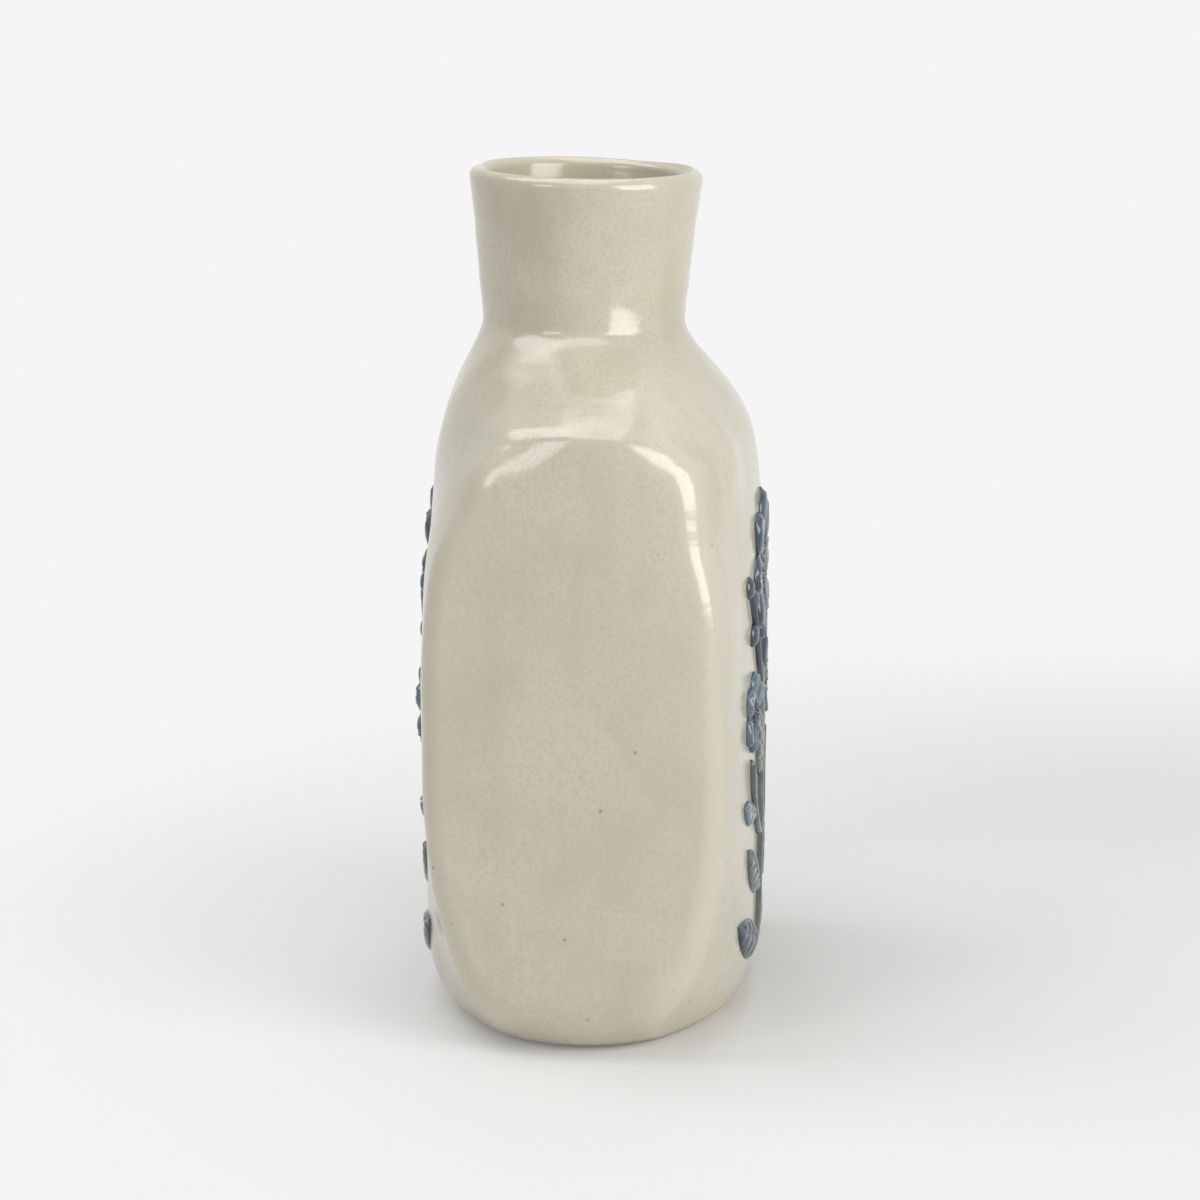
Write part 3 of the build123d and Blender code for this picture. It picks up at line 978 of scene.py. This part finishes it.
    def cuts(self) -> dict[str, tuple[list[tuple[int, ...]], list[tuple[int, ...]]]]:
        """The faces of each piece by node: those of the skin, and those of its joints with its neighbours."""
        marks = self.ring_names
        wall, collar, inside, end = marks["wall"], marks["collar"], marks["inside"], marks["end"]
        top = collar - 1
        low_inside = marks["floor"] - 1
        bottom_pole = self.corner(end, 0)
        base_skin = self.fan(0, bottom_pole, True) + self.run(0, wall)
        base_skin += self.run(low_inside, end - 1) + self.fan(end - 1, bottom_pole + 1, False)
        pieces = {
            "base_slab": (base_skin, self.strip(wall, low_inside, 0, self.columns)),
            "neck_collar": (self.run(top, inside), self.strip(inside, top, 0, self.columns)),
        }
        for panel in Panel:
            first, count = self.first_column(panel), self.wall_columns(panel)
            last = first + count
            skin = self.run(wall, top, first, count) + self.run(inside, low_inside, first, count)
            joints = self.strip(top, inside, first, count) + self.strip(low_inside, wall, first, count)
            for step in range(top - wall):
                outer, inner = wall + step, low_inside - step
                for column, turned in ((first, False), (last, True)):
                    face = [self.corner(outer, column), self.corner(outer + 1, column)]
                    face += [self.corner(inner - 1, column), self.corner(inner, column)]
                    joints.append(tuple(reversed(face)) if turned else tuple(face))
            pieces[panel.value] = (skin, joints)
        return pieces

    def build(self, finish: bpy.types.Material, relief: Iterable[Vector]) -> None:
        """Cuts the skin into its six pieces and dresses them.

        Args:
            finish: The glaze.
            relief: Points on the sprigs, in millimetres, round which the glaze turns milky.
        """
        points, square = self.skin()
        values = self.values(points, relief)
        for node, (skin, joints) in self.cuts().items():
            faces = np.array([face if len(face) == 4 else (*face, -1) for face in skin + joints])
            used = np.unique(faces[faces >= 0])
            renumber = np.full(len(points), -1)
            renumber[used] = np.arange(len(used))
            cut = [tuple(int(renumber[corner]) for corner in face) for face in skin + joints]
            mesh = Pattern(points[used] * MM, cut).mesh(node)
            normals = [square[corner] for face in skin for corner in face]
            flat = [polygon.normal for polygon in mesh.polygons[len(skin):]]
            normals += [normal for normal, face in zip(flat, joints) for _ in face]
            mesh.normals_split_custom_set([tuple(normal) for normal in normals])
            for name, value in values.items():
                add_values(mesh, name, value[used])
            fit_piece(node, mesh, Slot.CREAM, finish)


# The raised spray

Relief = Callable[[np.ndarray, np.ndarray], np.ndarray]


def ribbon(
    path: np.ndarray, right: np.ndarray, left: np.ndarray, relief: Relief, across: int, sink: float
) -> Pattern:
    """A closed strip of clay laid along a path on the flat.

    Args:
        path: Points along its middle, (sideways, up).
        right: How far it reaches to the right at each point.
        left: How far it reaches to the left.
        relief: Its height from its share along, 0 to 1, and across, -1 to 1.
        across: How many points lie across it.
        sink: How deep its underside lies in the wall.

    Returns:
        The strip, as (sideways, up, height).
    """
    heading = np.gradient(path, axis=0)
    heading /= np.linalg.norm(heading, axis=1, keepdims=True)
    leftward = np.stack([-heading[:, 1], heading[:, 0]], axis=1)
    share = -np.cos(np.linspace(0, math.pi, across))
    along = np.linspace(0, 1, len(path))
    height = relief(along[:, None], share[None, :])
    reach = np.where(share > 0, left[:, None], right[:, None]) * share
    flat = path[:, None, :] + leftward[:, None, :] * reach[:, :, None]
    top = np.concatenate([flat, height[:, :, None]], axis=2)
    low = np.concatenate([flat, np.full_like(height, -sink)[:, :, None]], axis=2)
    grid = np.concatenate([low[:, :1], top, low[:, -1:]], axis=1)
    rows, columns = grid.shape[:2]
    faces = []
    for row in range(rows - 1):
        a, b = row * columns, (row + 1) * columns
        faces += [(a + c, b + c, b + c + 1, a + c + 1) for c in range(columns - 1)]
        faces.append((a, a + columns - 1, b + columns - 1, b))
    last = (rows - 1) * columns
    faces.append(tuple(range(columns)))
    faces.append(tuple(reversed(range(last, last + columns))))
    return Pattern(grid.reshape(-1, 3), faces)


def dome(
    radius: float, relief: Callable[[np.ndarray], np.ndarray], rings: int, spokes: int, sink: float
) -> Pattern:
    """A closed round button on the flat, with its middle at the origin.

    Args:
        radius: Its radius.
        relief: Its height from its share outward, 0 to 1.
        rings: How many rings of points it has.
        spokes: How many points lie round it.
        sink: How deep its underside lies in the wall.

    Returns:
        The button, as (sideways, up, height).
    """
    share = np.sin(np.linspace(0, math.pi / 2, rings + 1))[1:]
    turn = np.linspace(0, 2 * math.pi, spokes, endpoint=False)
    height = np.append(relief(share), -sink)
    reach = np.append(share, 1.0) * radius
    x = reach[:, None] * np.cos(turn)
    y = reach[:, None] * np.sin(turn)
    grid = np.stack([x, y, np.broadcast_to(height[:, None], x.shape)], axis=2).reshape(-1, 3)
    top = relief(np.zeros(1))
    points = np.concatenate([grid, [[0, 0, top[0]]]])
    pole = len(grid)
    faces = []
    for spoke in range(spokes):
        after = (spoke + 1) % spokes
        faces.append((pole, spoke, after))
        for ring in range(rings):
            low, high = ring * spokes, (ring + 1) * spokes
            faces.append((low + spoke, high + spoke, high + after, low + after))
    faces.append(tuple(reversed(range(rings * spokes, (rings + 1) * spokes))))
    return Pattern(points, faces)


def three_point_arc(start: np.ndarray, bend: np.ndarray, end: np.ndarray, count: int) -> np.ndarray:
    """Points along the arc through three points."""
    matrix = 2 * np.array([bend - start, end - start])
    centre = np.linalg.solve(matrix, np.array([bend @ bend - start @ start, end @ end - start @ start]))
    radius = np.linalg.norm(start - centre)
    turns = [math.atan2(*(point - centre)[::-1]) for point in (start, bend, end)]
    swing = np.unwrap(turns)
    turn = np.linspace(swing[0], swing[2], count)
    return centre + radius * np.stack([np.cos(turn), np.sin(turn)], axis=1)


class Setting:
    """A Geometry Nodes tree that sets copies of one small piece on the marked points of another."""

    def __init__(self) -> None:
        """Builds the tree."""
        self.tree = bpy.data.node_groups.new("sprig_setting", "GeometryNodeTree")
        self.sockets: dict[str, str] = {}
        inputs = {"Ground": "Geometry", "Piece": "Object"}
        inputs.update({"Turn jitter": "Float", "Size jitter": "Float", "Seed": "Int"})
        for name, kind in inputs.items():
            socket = self.tree.interface.new_socket(name, in_out="INPUT", socket_type="NodeSocket" + kind)
            self.sockets[name] = socket.identifier
        self.tree.interface.new_socket("Geometry", in_out="OUTPUT", socket_type="NodeSocketGeometry")
        nodes = Nodes(self.tree)
        given = nodes.node("NodeGroupInput").outputs
        seat, turn, size = (self.named(nodes, name) for name in ("seat", "turn", "size"))
        marked = nodes.node("FunctionNodeCompare", {"data_type": "FLOAT"}, {0: seat, 1: 0.5}).outputs[0]
        piece = nodes.node("GeometryNodeObjectInfo", None, {"Object": given["Piece"]}).outputs["Geometry"]
        turned = self.spread(nodes, given["Turn jitter"], given["Seed"], turn, "ADD")
        sized = self.spread(nodes, given["Size jitter"], given["Seed"], size, "MULTIPLY_ADD")
        rotation = nodes.node("ShaderNodeCombineXYZ", None, {"Z": turned}).outputs[0]
        places = {"Points": given["Ground"], "Selection": marked, "Instance": piece}
        places.update({"Rotation": rotation, "Scale": sized})
        copies = nodes.node("GeometryNodeInstanceOnPoints", None, places).outputs[0]
        ground = nodes.node("GeometryNodeDeleteGeometry", None, {0: given["Ground"], 1: marked}).outputs[0]
        both = nodes.node("GeometryNodeJoinGeometry")
        for part in (copies, ground):
            self.tree.links.new(part, both.inputs[0])
        real = nodes.node("GeometryNodeRealizeInstances", None, {0: both.outputs[0]}).outputs[0]
        nodes.node("NodeGroupOutput", None, {0: real})

    @staticmethod
    def named(nodes: Nodes, name: str) -> bpy.types.NodeSocket:
        """A number that each point of the ground carries."""
        settings = {"data_type": "FLOAT"}
        return nodes.node("GeometryNodeInputNamedAttribute", settings, {"Name": name}).outputs[0]

    @staticmethod
    def spread(nodes: Nodes, jitter: object, seed: object, value: object, how: str) -> bpy.types.NodeSocket:
        """A value with a random part, added to it or as a share of it."""
        least = nodes.node("ShaderNodeMath", {"operation": "MULTIPLY"}, {0: jitter, 1: -1.0}).outputs[0]
        drawn = {2: least, 3: jitter, "Seed": seed}
        chance = nodes.node("FunctionNodeRandomValue", {"data_type": "FLOAT"}, drawn).outputs[1]
        sockets = {0: chance, 1: value}
        if how == "MULTIPLY_ADD":
            sockets[2] = value
        return nodes.node("ShaderNodeMath", {"operation": how}, sockets).outputs[0]

    def apply(
        self, ground: Pattern, seats: np.ndarray, piece: Pattern, jitter: tuple[float, float], seed: int
    ) -> Pattern:
        """Sets copies of a piece on a ground.

        Args:
            ground: What the copies stand on; it stays.
            seats: For each copy its place, turn in radians and size, as (sideways, up, height, turn, size).
            piece: The piece that is copied, with its seat at the origin.
            jitter: How far turns and sizes stray, in radians and as a share.
            seed: What the straying follows.

        Returns:
            The ground and the copies as one.
        """
        start = len(ground.points)
        carrier = Pattern(np.concatenate([ground.points, seats[:, :3]]), ground.faces).mesh("ground")
        for name, column in (("seat", None), ("turn", 3), ("size", 4)):
            values = np.zeros(start + len(seats))
            values[start:] = 1.0 if column is None else seats[:, column]
            add_values(carrier, name, values)
        holder = show("ground", carrier)
        model = show("model", piece.mesh("model"))
        modifier = holder.modifiers.new("setting", "NODES")
        modifier.node_group = self.tree
        given = {"Piece": model, "Turn jitter": jitter[0], "Size jitter": jitter[1], "Seed": seed}
        for name, value in given.items():
            modifier[self.sockets[name]] = value
        holder.update_tag()
        evaluated = holder.evaluated_get(bpy.context.evaluated_depsgraph_get())
        mesh = bpy.data.meshes.new_from_object(evaluated)
        points = np.zeros(len(mesh.vertices) * 3, np.float32)
        mesh.vertices.foreach_get("co", points)
        faces = [tuple(polygon.vertices) for polygon in mesh.polygons]
        holder.modifiers.clear()
        for used in (holder, model):
            bpy.data.objects.remove(used)
        for used in (mesh, carrier):
            bpy.data.meshes.remove(used)
        return Pattern(points.reshape(-1, 3).astype(float), faces)


@dataclass(frozen=True)
class LeafSize:
    """A leaf's place and size as shares of the spray, and its lift as a share of a right angle."""

    root: float
    length: float
    width: float
    lift: float
    veins: int


@dataclass(frozen=True)
class BlossomSize:
    """A blossom's place, radius and button radius as shares of the spray, its petals and its random seed."""

    side: float
    up: float
    radius: float
    button: float
    petals: int
    seed: int


@dataclass
class Spray:
    """The raised spray of one broad face: stem, branches, leaves, twigs and blossoms, in millimetres."""

    form: VaseForm
    hand: Hand
    face: Face
    setting: Setting
    foot: float = 8.0
    top_drop: float = 40.0
    leaf_relief: float = 1.3
    blossom_relief: float = 1.7
    gap: float = 0.4
    sink: float = 0.4
    stem_top: float = 0.645
    stem_width: float = 0.030
    stem_tip: float = 0.020
    branch_width: float = 0.017
    branch: tuple[float, tuple[float, float], tuple[float, float]] = (0.279, (0.107, 0.335), (0.162, 0.468))
    twig_width: float = 0.015
    twig: tuple[float, tuple[float, float], tuple[float, float]] = (0.585, (0.128, 0.694), (0.222, 0.835))
    twig_seed: int = 5
    strand_end: float = 0.04
    strand_least: float = 0.25
    berry_radius: float = 0.0245
    berries: tuple[tuple[float, float], ...] = ((0.66, -0.8), (0.84, 0.8), (1.0, 0.0))
    berry_jitter: tuple[float, float] = (3.0, 0.06)
    basal_leaf: LeafSize = LeafSize(0.040, 0.255, 0.082, 0.26, 6)
    lower_leaf: LeafSize = LeafSize(0.160, 0.235, 0.072, 0.38, 6)
    upper_leaf: LeafSize = LeafSize(0.395, 0.160, 0.055, 0.80, 4)
    branch_leaf: LeafSize = LeafSize(0.52, 0.145, 0.052, 0.20, 4)
    leaf_belly: float = 0.62
    leaf_ends: tuple[float, float, float] = (0.12, 0.16, 0.35)
    rib_width: float = 0.11
    rib_depth: float = 0.42
    vein_lean: float = 0.16
    vein_depth: float = 0.26
    top_blossom: BlossomSize = BlossomSize(0.0, 0.838, 0.162, 0.047, 8, 31)
    side_blossom: BlossomSize = BlossomSize(0.166, 0.566, 0.085, 0.027, 6, 21)
    petal_width: float = 0.27
    petal_root: float = 0.30
    petal_step: float = 0.12
    petal_cup: float = 0.34
    petal_ribs: float = 0.07
    petal_jitter: tuple[float, float] = (0.07, 0.045)
    collar_relief: float = 0.6
    collar_overlap: float = 1.0
    collar_shift: float = 0.6
    collar_least: float = 0.6
    button_relief: float = 0.78
    bead_radius: float = 0.15
    bead_relief: float = 0.42
    bead_sink: float = 0.2
    bead_bed: float = 0.08
    bead_rings: tuple[tuple[float, int], ...] = ((0.36, 6), (0.70, 11))
    bead_jitter: tuple[float, float] = (3.0, 0.12)
    path_steps: int = 100
    relief_points: list[Vector] = field(default_factory=list)

    @property
    def height(self) -> float:
        """How tall the spray is."""
        return self.form.seam_height - self.top_drop - self.foot

    def point(self, side: float, up: float) -> np.ndarray:
        """A place on the flat from shares of the spray's height."""
        return np.array([side * self.height, self.foot + up * self.height])

    def stem_side(self, up: float, width: float) -> np.ndarray:
        """Where a twig or leaf starts, just clear of the stem's right edge."""
        half = float(blend(self.stem_width, self.stem_tip, up / self.stem_top)) * self.height / 2
        return np.array([half + self.gap + width / 2, self.point(0, up)[1]])

    def round_relief(self, height: float) -> Relief:
        """A rounded strip that tapers off at both ends."""
        def relief(along: np.ndarray, across: np.ndarray) -> np.ndarray:
            """Height at a place."""
            ends = tapered(along, self.strand_end, self.strand_end, self.strand_least)
            return height * ends * rounded(across, 2.4, 0.55)

        return relief

    def leaf_relief_of(self, veins: int) -> Relief:
        """A leaf that is full along its edges, with a sunk middle rib and side veins."""
        def relief(along: np.ndarray, across: np.ndarray) -> np.ndarray:
            """Height at a place."""
            swell = rounded(across, 3)
            rib = np.exp(-(across / self.rib_width) ** 2)
            wave = np.cos(2 * math.pi * veins * (along - self.vein_lean * np.abs(across)))
            vein = smooth((wave - 0.55) / 0.45) * smooth(np.abs(across) / 0.2)
            vein = vein * smooth((0.95 - np.abs(across)) / 0.2)
            ends = tapered(along, *self.leaf_ends)
            return self.leaf_relief * ends * swell * (1 - self.rib_depth * rib - self.vein_depth * vein)

        return relief

    def petal_relief(self, along: np.ndarray, across: np.ndarray) -> np.ndarray:
        """A petal that rises to its tip, cupped, with fine ribs."""
        swell = rounded(across, 2.6)
        lift = 0.5 + 0.5 * smooth(along / 0.75)
        end = 0.3 + 0.7 * smooth((1 - along) / 0.14)
        cup = self.petal_cup * np.exp(-(across / 0.32) ** 2)
        cup = cup * smooth(along / 0.3) * smooth((1.05 - along) / 0.35)
        ribs = self.petal_ribs * np.cos(across * 4 * math.pi) * smooth((1 - np.abs(across)) / 0.3)
        return self.blossom_relief * lift * end * swell * (1 - cup + ribs)

    def stem_piece(self) -> Pattern:
        """The tapered middle stem."""
        count = 70
        path = np.linspace(self.point(0, 0), self.point(0, self.stem_top), count)
        half = np.linspace(self.stem_width, self.stem_tip, count) * self.height / 2
        return ribbon(path, half, half, self.round_relief(self.leaf_relief), across=11, sink=self.sink)

    def bowed(self, places: tuple, width: float, count: int) -> np.ndarray:
        """The arc that a branch or twig follows from the stem's right side."""
        root, bend, tip = places
        return three_point_arc(self.stem_side(root, width), self.point(*bend), self.point(*tip), count)

    def strand(self, places: tuple, width_share: float) -> Pattern:
        """A branch or twig of even width with rounded ends."""
        count = 48
        width = width_share * self.height
        path = self.bowed(places, width, count)
        share = np.linspace(0, 1, count)
        half = width / 2 * np.sqrt(np.clip(1 - np.abs(2 * share - 1) ** 16, 0.02, 1))
        return ribbon(path, half, half, self.round_relief(self.leaf_relief), across=9, sink=self.sink)

    def leaf_piece(self, size: LeafSize, root: np.ndarray) -> Pattern:
        """A leaf of two arcs, with the fuller one below."""
        count = 72
        length, width = size.length * self.height, size.width * self.height
        lift = size.lift * math.pi / 2
        heading = np.array([math.cos(lift), math.sin(lift)])
        along = np.linspace(0.004, 0.996, count)
        path = root + heading * (length * along[:, None])

        def arc(rise: float) -> np.ndarray:
            """How far an arc over the leaf's length stands out."""
            radius = (length ** 2 / 4 + rise ** 2) / (2 * rise)
            return np.sqrt(radius ** 2 - (length * (along - 0.5)) ** 2) - (radius - rise)

        below, above = arc(width * self.leaf_belly), arc(width * (1 - self.leaf_belly))
        return ribbon(path, below, above, self.leaf_relief_of(size.veins), across=21, sink=self.sink)

    def branch_leaf_root(self) -> np.ndarray:
        """Where the leaf on the branch's outer side starts."""
        path = self.bowed(self.branch, self.branch_width * self.height, self.path_steps + 1)
        place = round(self.branch_leaf.root * self.path_steps)
        heading = path[place + 1] - path[place - 1]
        heading /= np.linalg.norm(heading)
        clear = self.branch_width * self.height / 2 + self.gap
        return path[place] + np.array([heading[1], -heading[0]]) * clear

    def twig_piece(self) -> Pattern:
        """A twig with its berries."""
        radius = self.berry_radius * self.height
        path = self.bowed(self.twig, self.twig_width * self.height, self.path_steps + 1)
        seats = []
        for along, side in self.berries:
            place = round(along * self.path_steps)
            heading = path[place] - path[place - 1]
            heading /= np.linalg.norm(heading)
            centre = path[place] + np.array([-heading[1], heading[0]]) * side * radius
            seats.append((*centre, 0.0, 0.0, 1.0))

        def relief(out: np.ndarray) -> np.ndarray:
            """A berry's height, with a small dimple at its eye."""
            return self.blossom_relief * (0.95 * np.sqrt(1 - out ** 2) - 0.22 * np.exp(-(out / 0.2) ** 2))

        berry = dome(radius, relief, rings=9, spokes=24, sink=self.sink)
        twig = self.strand(self.twig, self.twig_width)
        return self.setting.apply(twig, np.array(seats), berry, self.berry_jitter, self.twig_seed)

    def blossom_piece(self, size: BlossomSize) -> Pattern:
        """A ring of petals on a low collar."""
        radius = size.radius * self.height
        button = size.button * self.height
        root = radius * self.petal_root
        count = 34
        along = np.linspace(0, 1, count)
        reach = np.stack([blend(0, radius - root, along), np.zeros(count)], axis=1)
        broadest = radius * self.petal_width * self.top_blossom.petals / size.petals
        bulge = np.sin(math.pi * np.clip(along, 0.015, 0.985) ** 1.25) ** 0.72
        half = broadest * np.clip(bulge, 0.05, 1)
        petal = ribbon(reach, half, half, self.petal_relief, across=17, sink=self.sink)
        centre = self.point(size.side, size.up)
        turns = math.pi / 2 + 2 * math.pi * np.arange(size.petals) / size.petals
        seats = np.stack([
            centre[0] + root * np.cos(turns),
            centre[1] + root * np.sin(turns),
            self.petal_step * (np.arange(size.petals) % 2),
            turns,
            np.ones(size.petals),
        ], axis=1)
        ring_turns = np.linspace(0, 2 * math.pi, 49)
        ring_radius = (button + self.gap + root) / 2 + self.collar_shift
        ring_path = centre + ring_radius * np.stack([np.cos(ring_turns), np.sin(ring_turns)], axis=1)
        half_ring = (root - button - self.gap) / 2 + self.collar_overlap
        flat = np.full(len(ring_turns), max(half_ring, self.collar_least))
        low = self.round_relief(self.leaf_relief * self.collar_relief)
        collar = ribbon(ring_path, flat, flat, low, across=7, sink=self.sink)
        return self.setting.apply(collar, seats, petal, self.petal_jitter, size.seed)

    def button_piece(self, size: BlossomSize) -> Pattern:
        """A blossom's domed button, set with small beads."""
        radius = size.button * self.height
        centre = self.point(size.side, size.up)

        def relief(out: np.ndarray) -> np.ndarray:
            """The button's height."""
            return self.blossom_relief * self.button_relief * rounded(out, 2.6)

        def bead_relief(out: np.ndarray) -> np.ndarray:
            """A bead's height."""
            return self.bead_relief * np.sqrt(1 - out ** 2)

        disc = dome(radius, relief, rings=9, spokes=36, sink=self.sink)
        disc.points[:, :2] += centre
        bead = dome(radius * self.bead_radius, bead_relief, rings=5, spokes=14, sink=self.bead_sink)
        places = [(0.0, 0.0)]
        for share, beads in self.bead_rings:
            turns = 2 * math.pi * (np.arange(beads) + share) / beads
            places += [(share * math.cos(turn), share * math.sin(turn)) for turn in turns]
        seats = []
        for x, y in places:
            height = float(relief(np.array([math.hypot(x, y)]))[0]) - self.bead_bed
            seats.append((centre[0] + x * radius, centre[1] + y * radius, height, 0.0, 1.0))
        return self.setting.apply(disc, np.array(seats), bead, self.bead_jitter, size.seed + 1)

    def half_pieces(self) -> dict[str, tuple[Pattern, Slot]]:
        """Pieces of the right half of the spray by name."""
        leaves = {name: getattr(self, name) for name in ("basal_leaf", "lower_leaf", "upper_leaf")}
        pieces = {name: self.leaf_piece(size, self.stem_side(size.root, 0)) for name, size in leaves.items()}
        return {
            "basal_leaf": (pieces["basal_leaf"], Slot.NAVY),
            "lower_leaf": (pieces["lower_leaf"], Slot.SAGE),
            "upper_leaf": (pieces["upper_leaf"], Slot.SAGE),
            "branch": (self.strand(self.branch, self.branch_width), Slot.SAGE),
            "branch_leaf": (self.leaf_piece(self.branch_leaf, self.branch_leaf_root()), Slot.SLATE),
            "berry_twig": (self.twig_piece(), Slot.NAVY),
            "blossom": (self.blossom_piece(self.side_blossom), Slot.SLATE),
            "button": (self.button_piece(self.side_blossom), Slot.NAVY),
        }

    def pieces(self) -> dict[str, tuple[Pattern, Slot]]:
        """Every piece of the spray on the flat, by name."""
        made = {
            "stem": (self.stem_piece(), Slot.SAGE),
            "top_blossom": (self.blossom_piece(self.top_blossom), Slot.NAVY),
            "top_button": (self.button_piece(self.top_blossom), Slot.SAGE),
        }
        for name, (shape, slot) in self.half_pieces().items():
            made["right_" + name] = (shape, slot)
            mirrored = shape.points * np.array([-1, 1, 1])
            made["left_" + name] = (Pattern(mirrored, [face[::-1] for face in shape.faces]), slot)
        return made

    def pressed(self, shape: Pattern) -> np.ndarray:
        """Points of a flat piece laid on the crowned wall, in millimetres."""
        side, up, height = shape.points.T
        turn = self.face.value
        wall = self.form.face_point(side, up, turn)
        square = self.form.face_normal(side, up, turn)
        return wall + square * (self.hand.offset(wall) + height)[:, None]

    def build(self, finishes: dict[Slot, bpy.types.Material]) -> None:
        """Presses the spray onto its face and dresses it with the glazes."""
        for name, (shape, slot) in self.pieces().items():
            points = self.pressed(shape)
            node = f"{self.face.name.lower()}_{name}"
            mesh = Pattern(points * MM, shape.faces).mesh(node)
            full = self.blossom_relief if name.endswith(("blossom", "button", "twig")) else self.leaf_relief
            add_values(mesh, "rise", np.clip(shape.points[:, 2] / full, 0, 1))
            fit_piece(node, mesh, slot, finishes[slot])
            self.relief_points += [Vector(point) for point in points[::3]]


# The studio


def aimed(name: str, data: bpy.types.ID, place: Sequence[float], aim: Sequence[float]) -> bpy.types.Object:
    """Puts a lamp or camera into the scene, turned to what it faces."""
    made = show(name, data)
    made.location = place
    made.rotation_mode = "QUATERNION"
    made.rotation_quaternion = (Vector(aim) - made.location).to_track_quat("-Z", "Y")
    return made

@dataclass(frozen=True)
class Lamp:
    """A soft window of light: where it hangs, what it faces, its size in metres and its power in watts."""

    name: str
    place: tuple[float, float, float]
    size: tuple[float, float]
    power: float
    aim: tuple[float, float, float] = (0.0, 0.0, 0.1)

    def build(self) -> None:
        """Hangs the lamp."""
        data = bpy.data.lights.new(self.name, "AREA")
        data.shape = "RECTANGLE"
        data.size, data.size_y = self.size
        data.energy = self.power
        aimed(self.name, data, self.place, self.aim)


@dataclass
class Studio:
    """The pale table, the soft lamps and the camera."""

    camera_place: tuple[float, float, float] = (0.8458, 0.0844, 0.285)
    camera_aim: tuple[float, float, float] = (0.0, 0.0008, 0.0964)
    lens: float = 108.6
    sensor: float = 36.0
    floor_half: float = 8.0
    paper: Colour = srgb(245, 245, 245)
    ambient: float = 0.16
    fade_middle: tuple[float, float, float] = (-0.03, 0.15, 0.0)
    fade_start: float = 0.11
    fade_end: float = 0.38
    lamps: tuple[Lamp, ...] = (
        Lamp("right_window", (0.59, 0.92, 0.52), (0.78, 0.86), 8.8, (0.0, 0.0, 0.165)),
        Lamp("left_window", (0.0, -0.68, 1.32), (0.8, 0.7), 4.8),
        Lamp("front_window", (0.80, -0.62, 0.56), (0.38, 0.38), 1.3, (0.0, 0.0, 0.14)),
        Lamp("top_window", (-0.05, -0.02, 1.35), (1.6, 0.7), 6.6, (-0.05, -0.02, 0.0)),
    )

    def seen(self, nodes: Nodes) -> Term:
        """Whether a ray comes from the camera, from a reflection or through glass."""
        path = nodes.node("ShaderNodeLightPath").outputs
        names = ("Is Camera Ray", "Is Glossy Ray", "Is Transmission Ray")
        camera, glossy, through = (Term(nodes, path[name]) for name in names)
        return (camera + glossy + through).at_most(1.0)

    def build_world(self) -> None:
        """Sets a soft even light all round, behind a pale paper."""
        world = bpy.data.worlds.new("studio_air")
        bpy.context.scene.world = world
        world.use_nodes = True
        nodes = Nodes(world.node_tree)
        dim = (self.ambient, self.ambient, self.ambient, 1.0)
        colour = nodes.mix(self.seen(nodes), dim, self.paper)
        shader = nodes.node("ShaderNodeBackground", None, {"Color": colour, "Strength": 1.0})
        nodes.node("ShaderNodeOutputWorld", None, {"Surface": shader.outputs[0]})

    def build_floor(self) -> None:
        """Lays the table, which fades into the paper away from the vase."""
        half = self.floor_half
        corners = np.array([[-half, -half, 0], [half, -half, 0], [half, half, 0], [-half, half, 0]])
        floor = show("table", Pattern(corners, [(0, 1, 2, 3)]).mesh("table"))
        material, nodes = new_material("table_paper")
        ends = {0: nodes.object_place(), 1: self.fade_middle}
        length = nodes.node("ShaderNodeVectorMath", {"operation": "DISTANCE"}, ends).outputs["Value"]
        far = Term(nodes, length).step(self.fade_start, self.fade_end) * self.seen(nodes)
        matt = nodes.node("ShaderNodeBsdfDiffuse", None, {"Color": self.paper}).outputs[0]
        glow = nodes.node("ShaderNodeEmission", None, {"Color": self.paper, "Strength": 1.0}).outputs[0]
        shader = nodes.node("ShaderNodeMixShader", None, {0: far, 1: matt, 2: glow})
        nodes.node("ShaderNodeOutputMaterial", None, {"Surface": shader.outputs[0]})
        floor.data.materials.append(material)
        floor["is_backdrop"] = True

    def build_camera(self) -> None:
        """Sets up the camera that looks at one narrow side."""
        data = bpy.data.cameras.new("camera")
        data.lens = self.lens
        data.sensor_width = self.sensor
        bpy.context.scene.camera = aimed("camera", data, self.camera_place, self.camera_aim)

    def build(self) -> None:
        """Sets up everything that isn't the vase."""
        bpy.context.scene.view_settings.view_transform = "Standard"
        self.build_world()
        self.build_floor()
        for lamp in self.lamps:
            lamp.build()
        self.build_camera()


def write_sizes() -> None:
    """Works out the box of the solids and the box of the dressed vase, and keeps neither."""
    boxes = {"cad": CAD_BOX, "visual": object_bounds()}
    {name: [list(corner) for corner in box] for name, box in boxes.items()}


def main() -> None:
    """Builds the vase and its studio."""
    logging.basicConfig(level=logging.INFO, format="%(name)s: %(message)s")
    Studio().build()
    form, hand, setting = VaseForm(), Hand(), Setting()
    finishes = {glaze.slot: glaze.build() for glaze in RELIEF_GLAZES}
    relief: list[Vector] = []
    for face in Face:
        spray = Spray(form, hand, face, setting)
        spray.build(finishes)
        relief += spray.relief_points
    Body(form, hand).build(CreamGlaze().build(), relief)
    write_sizes()


if __name__ == "__main__":
    main()
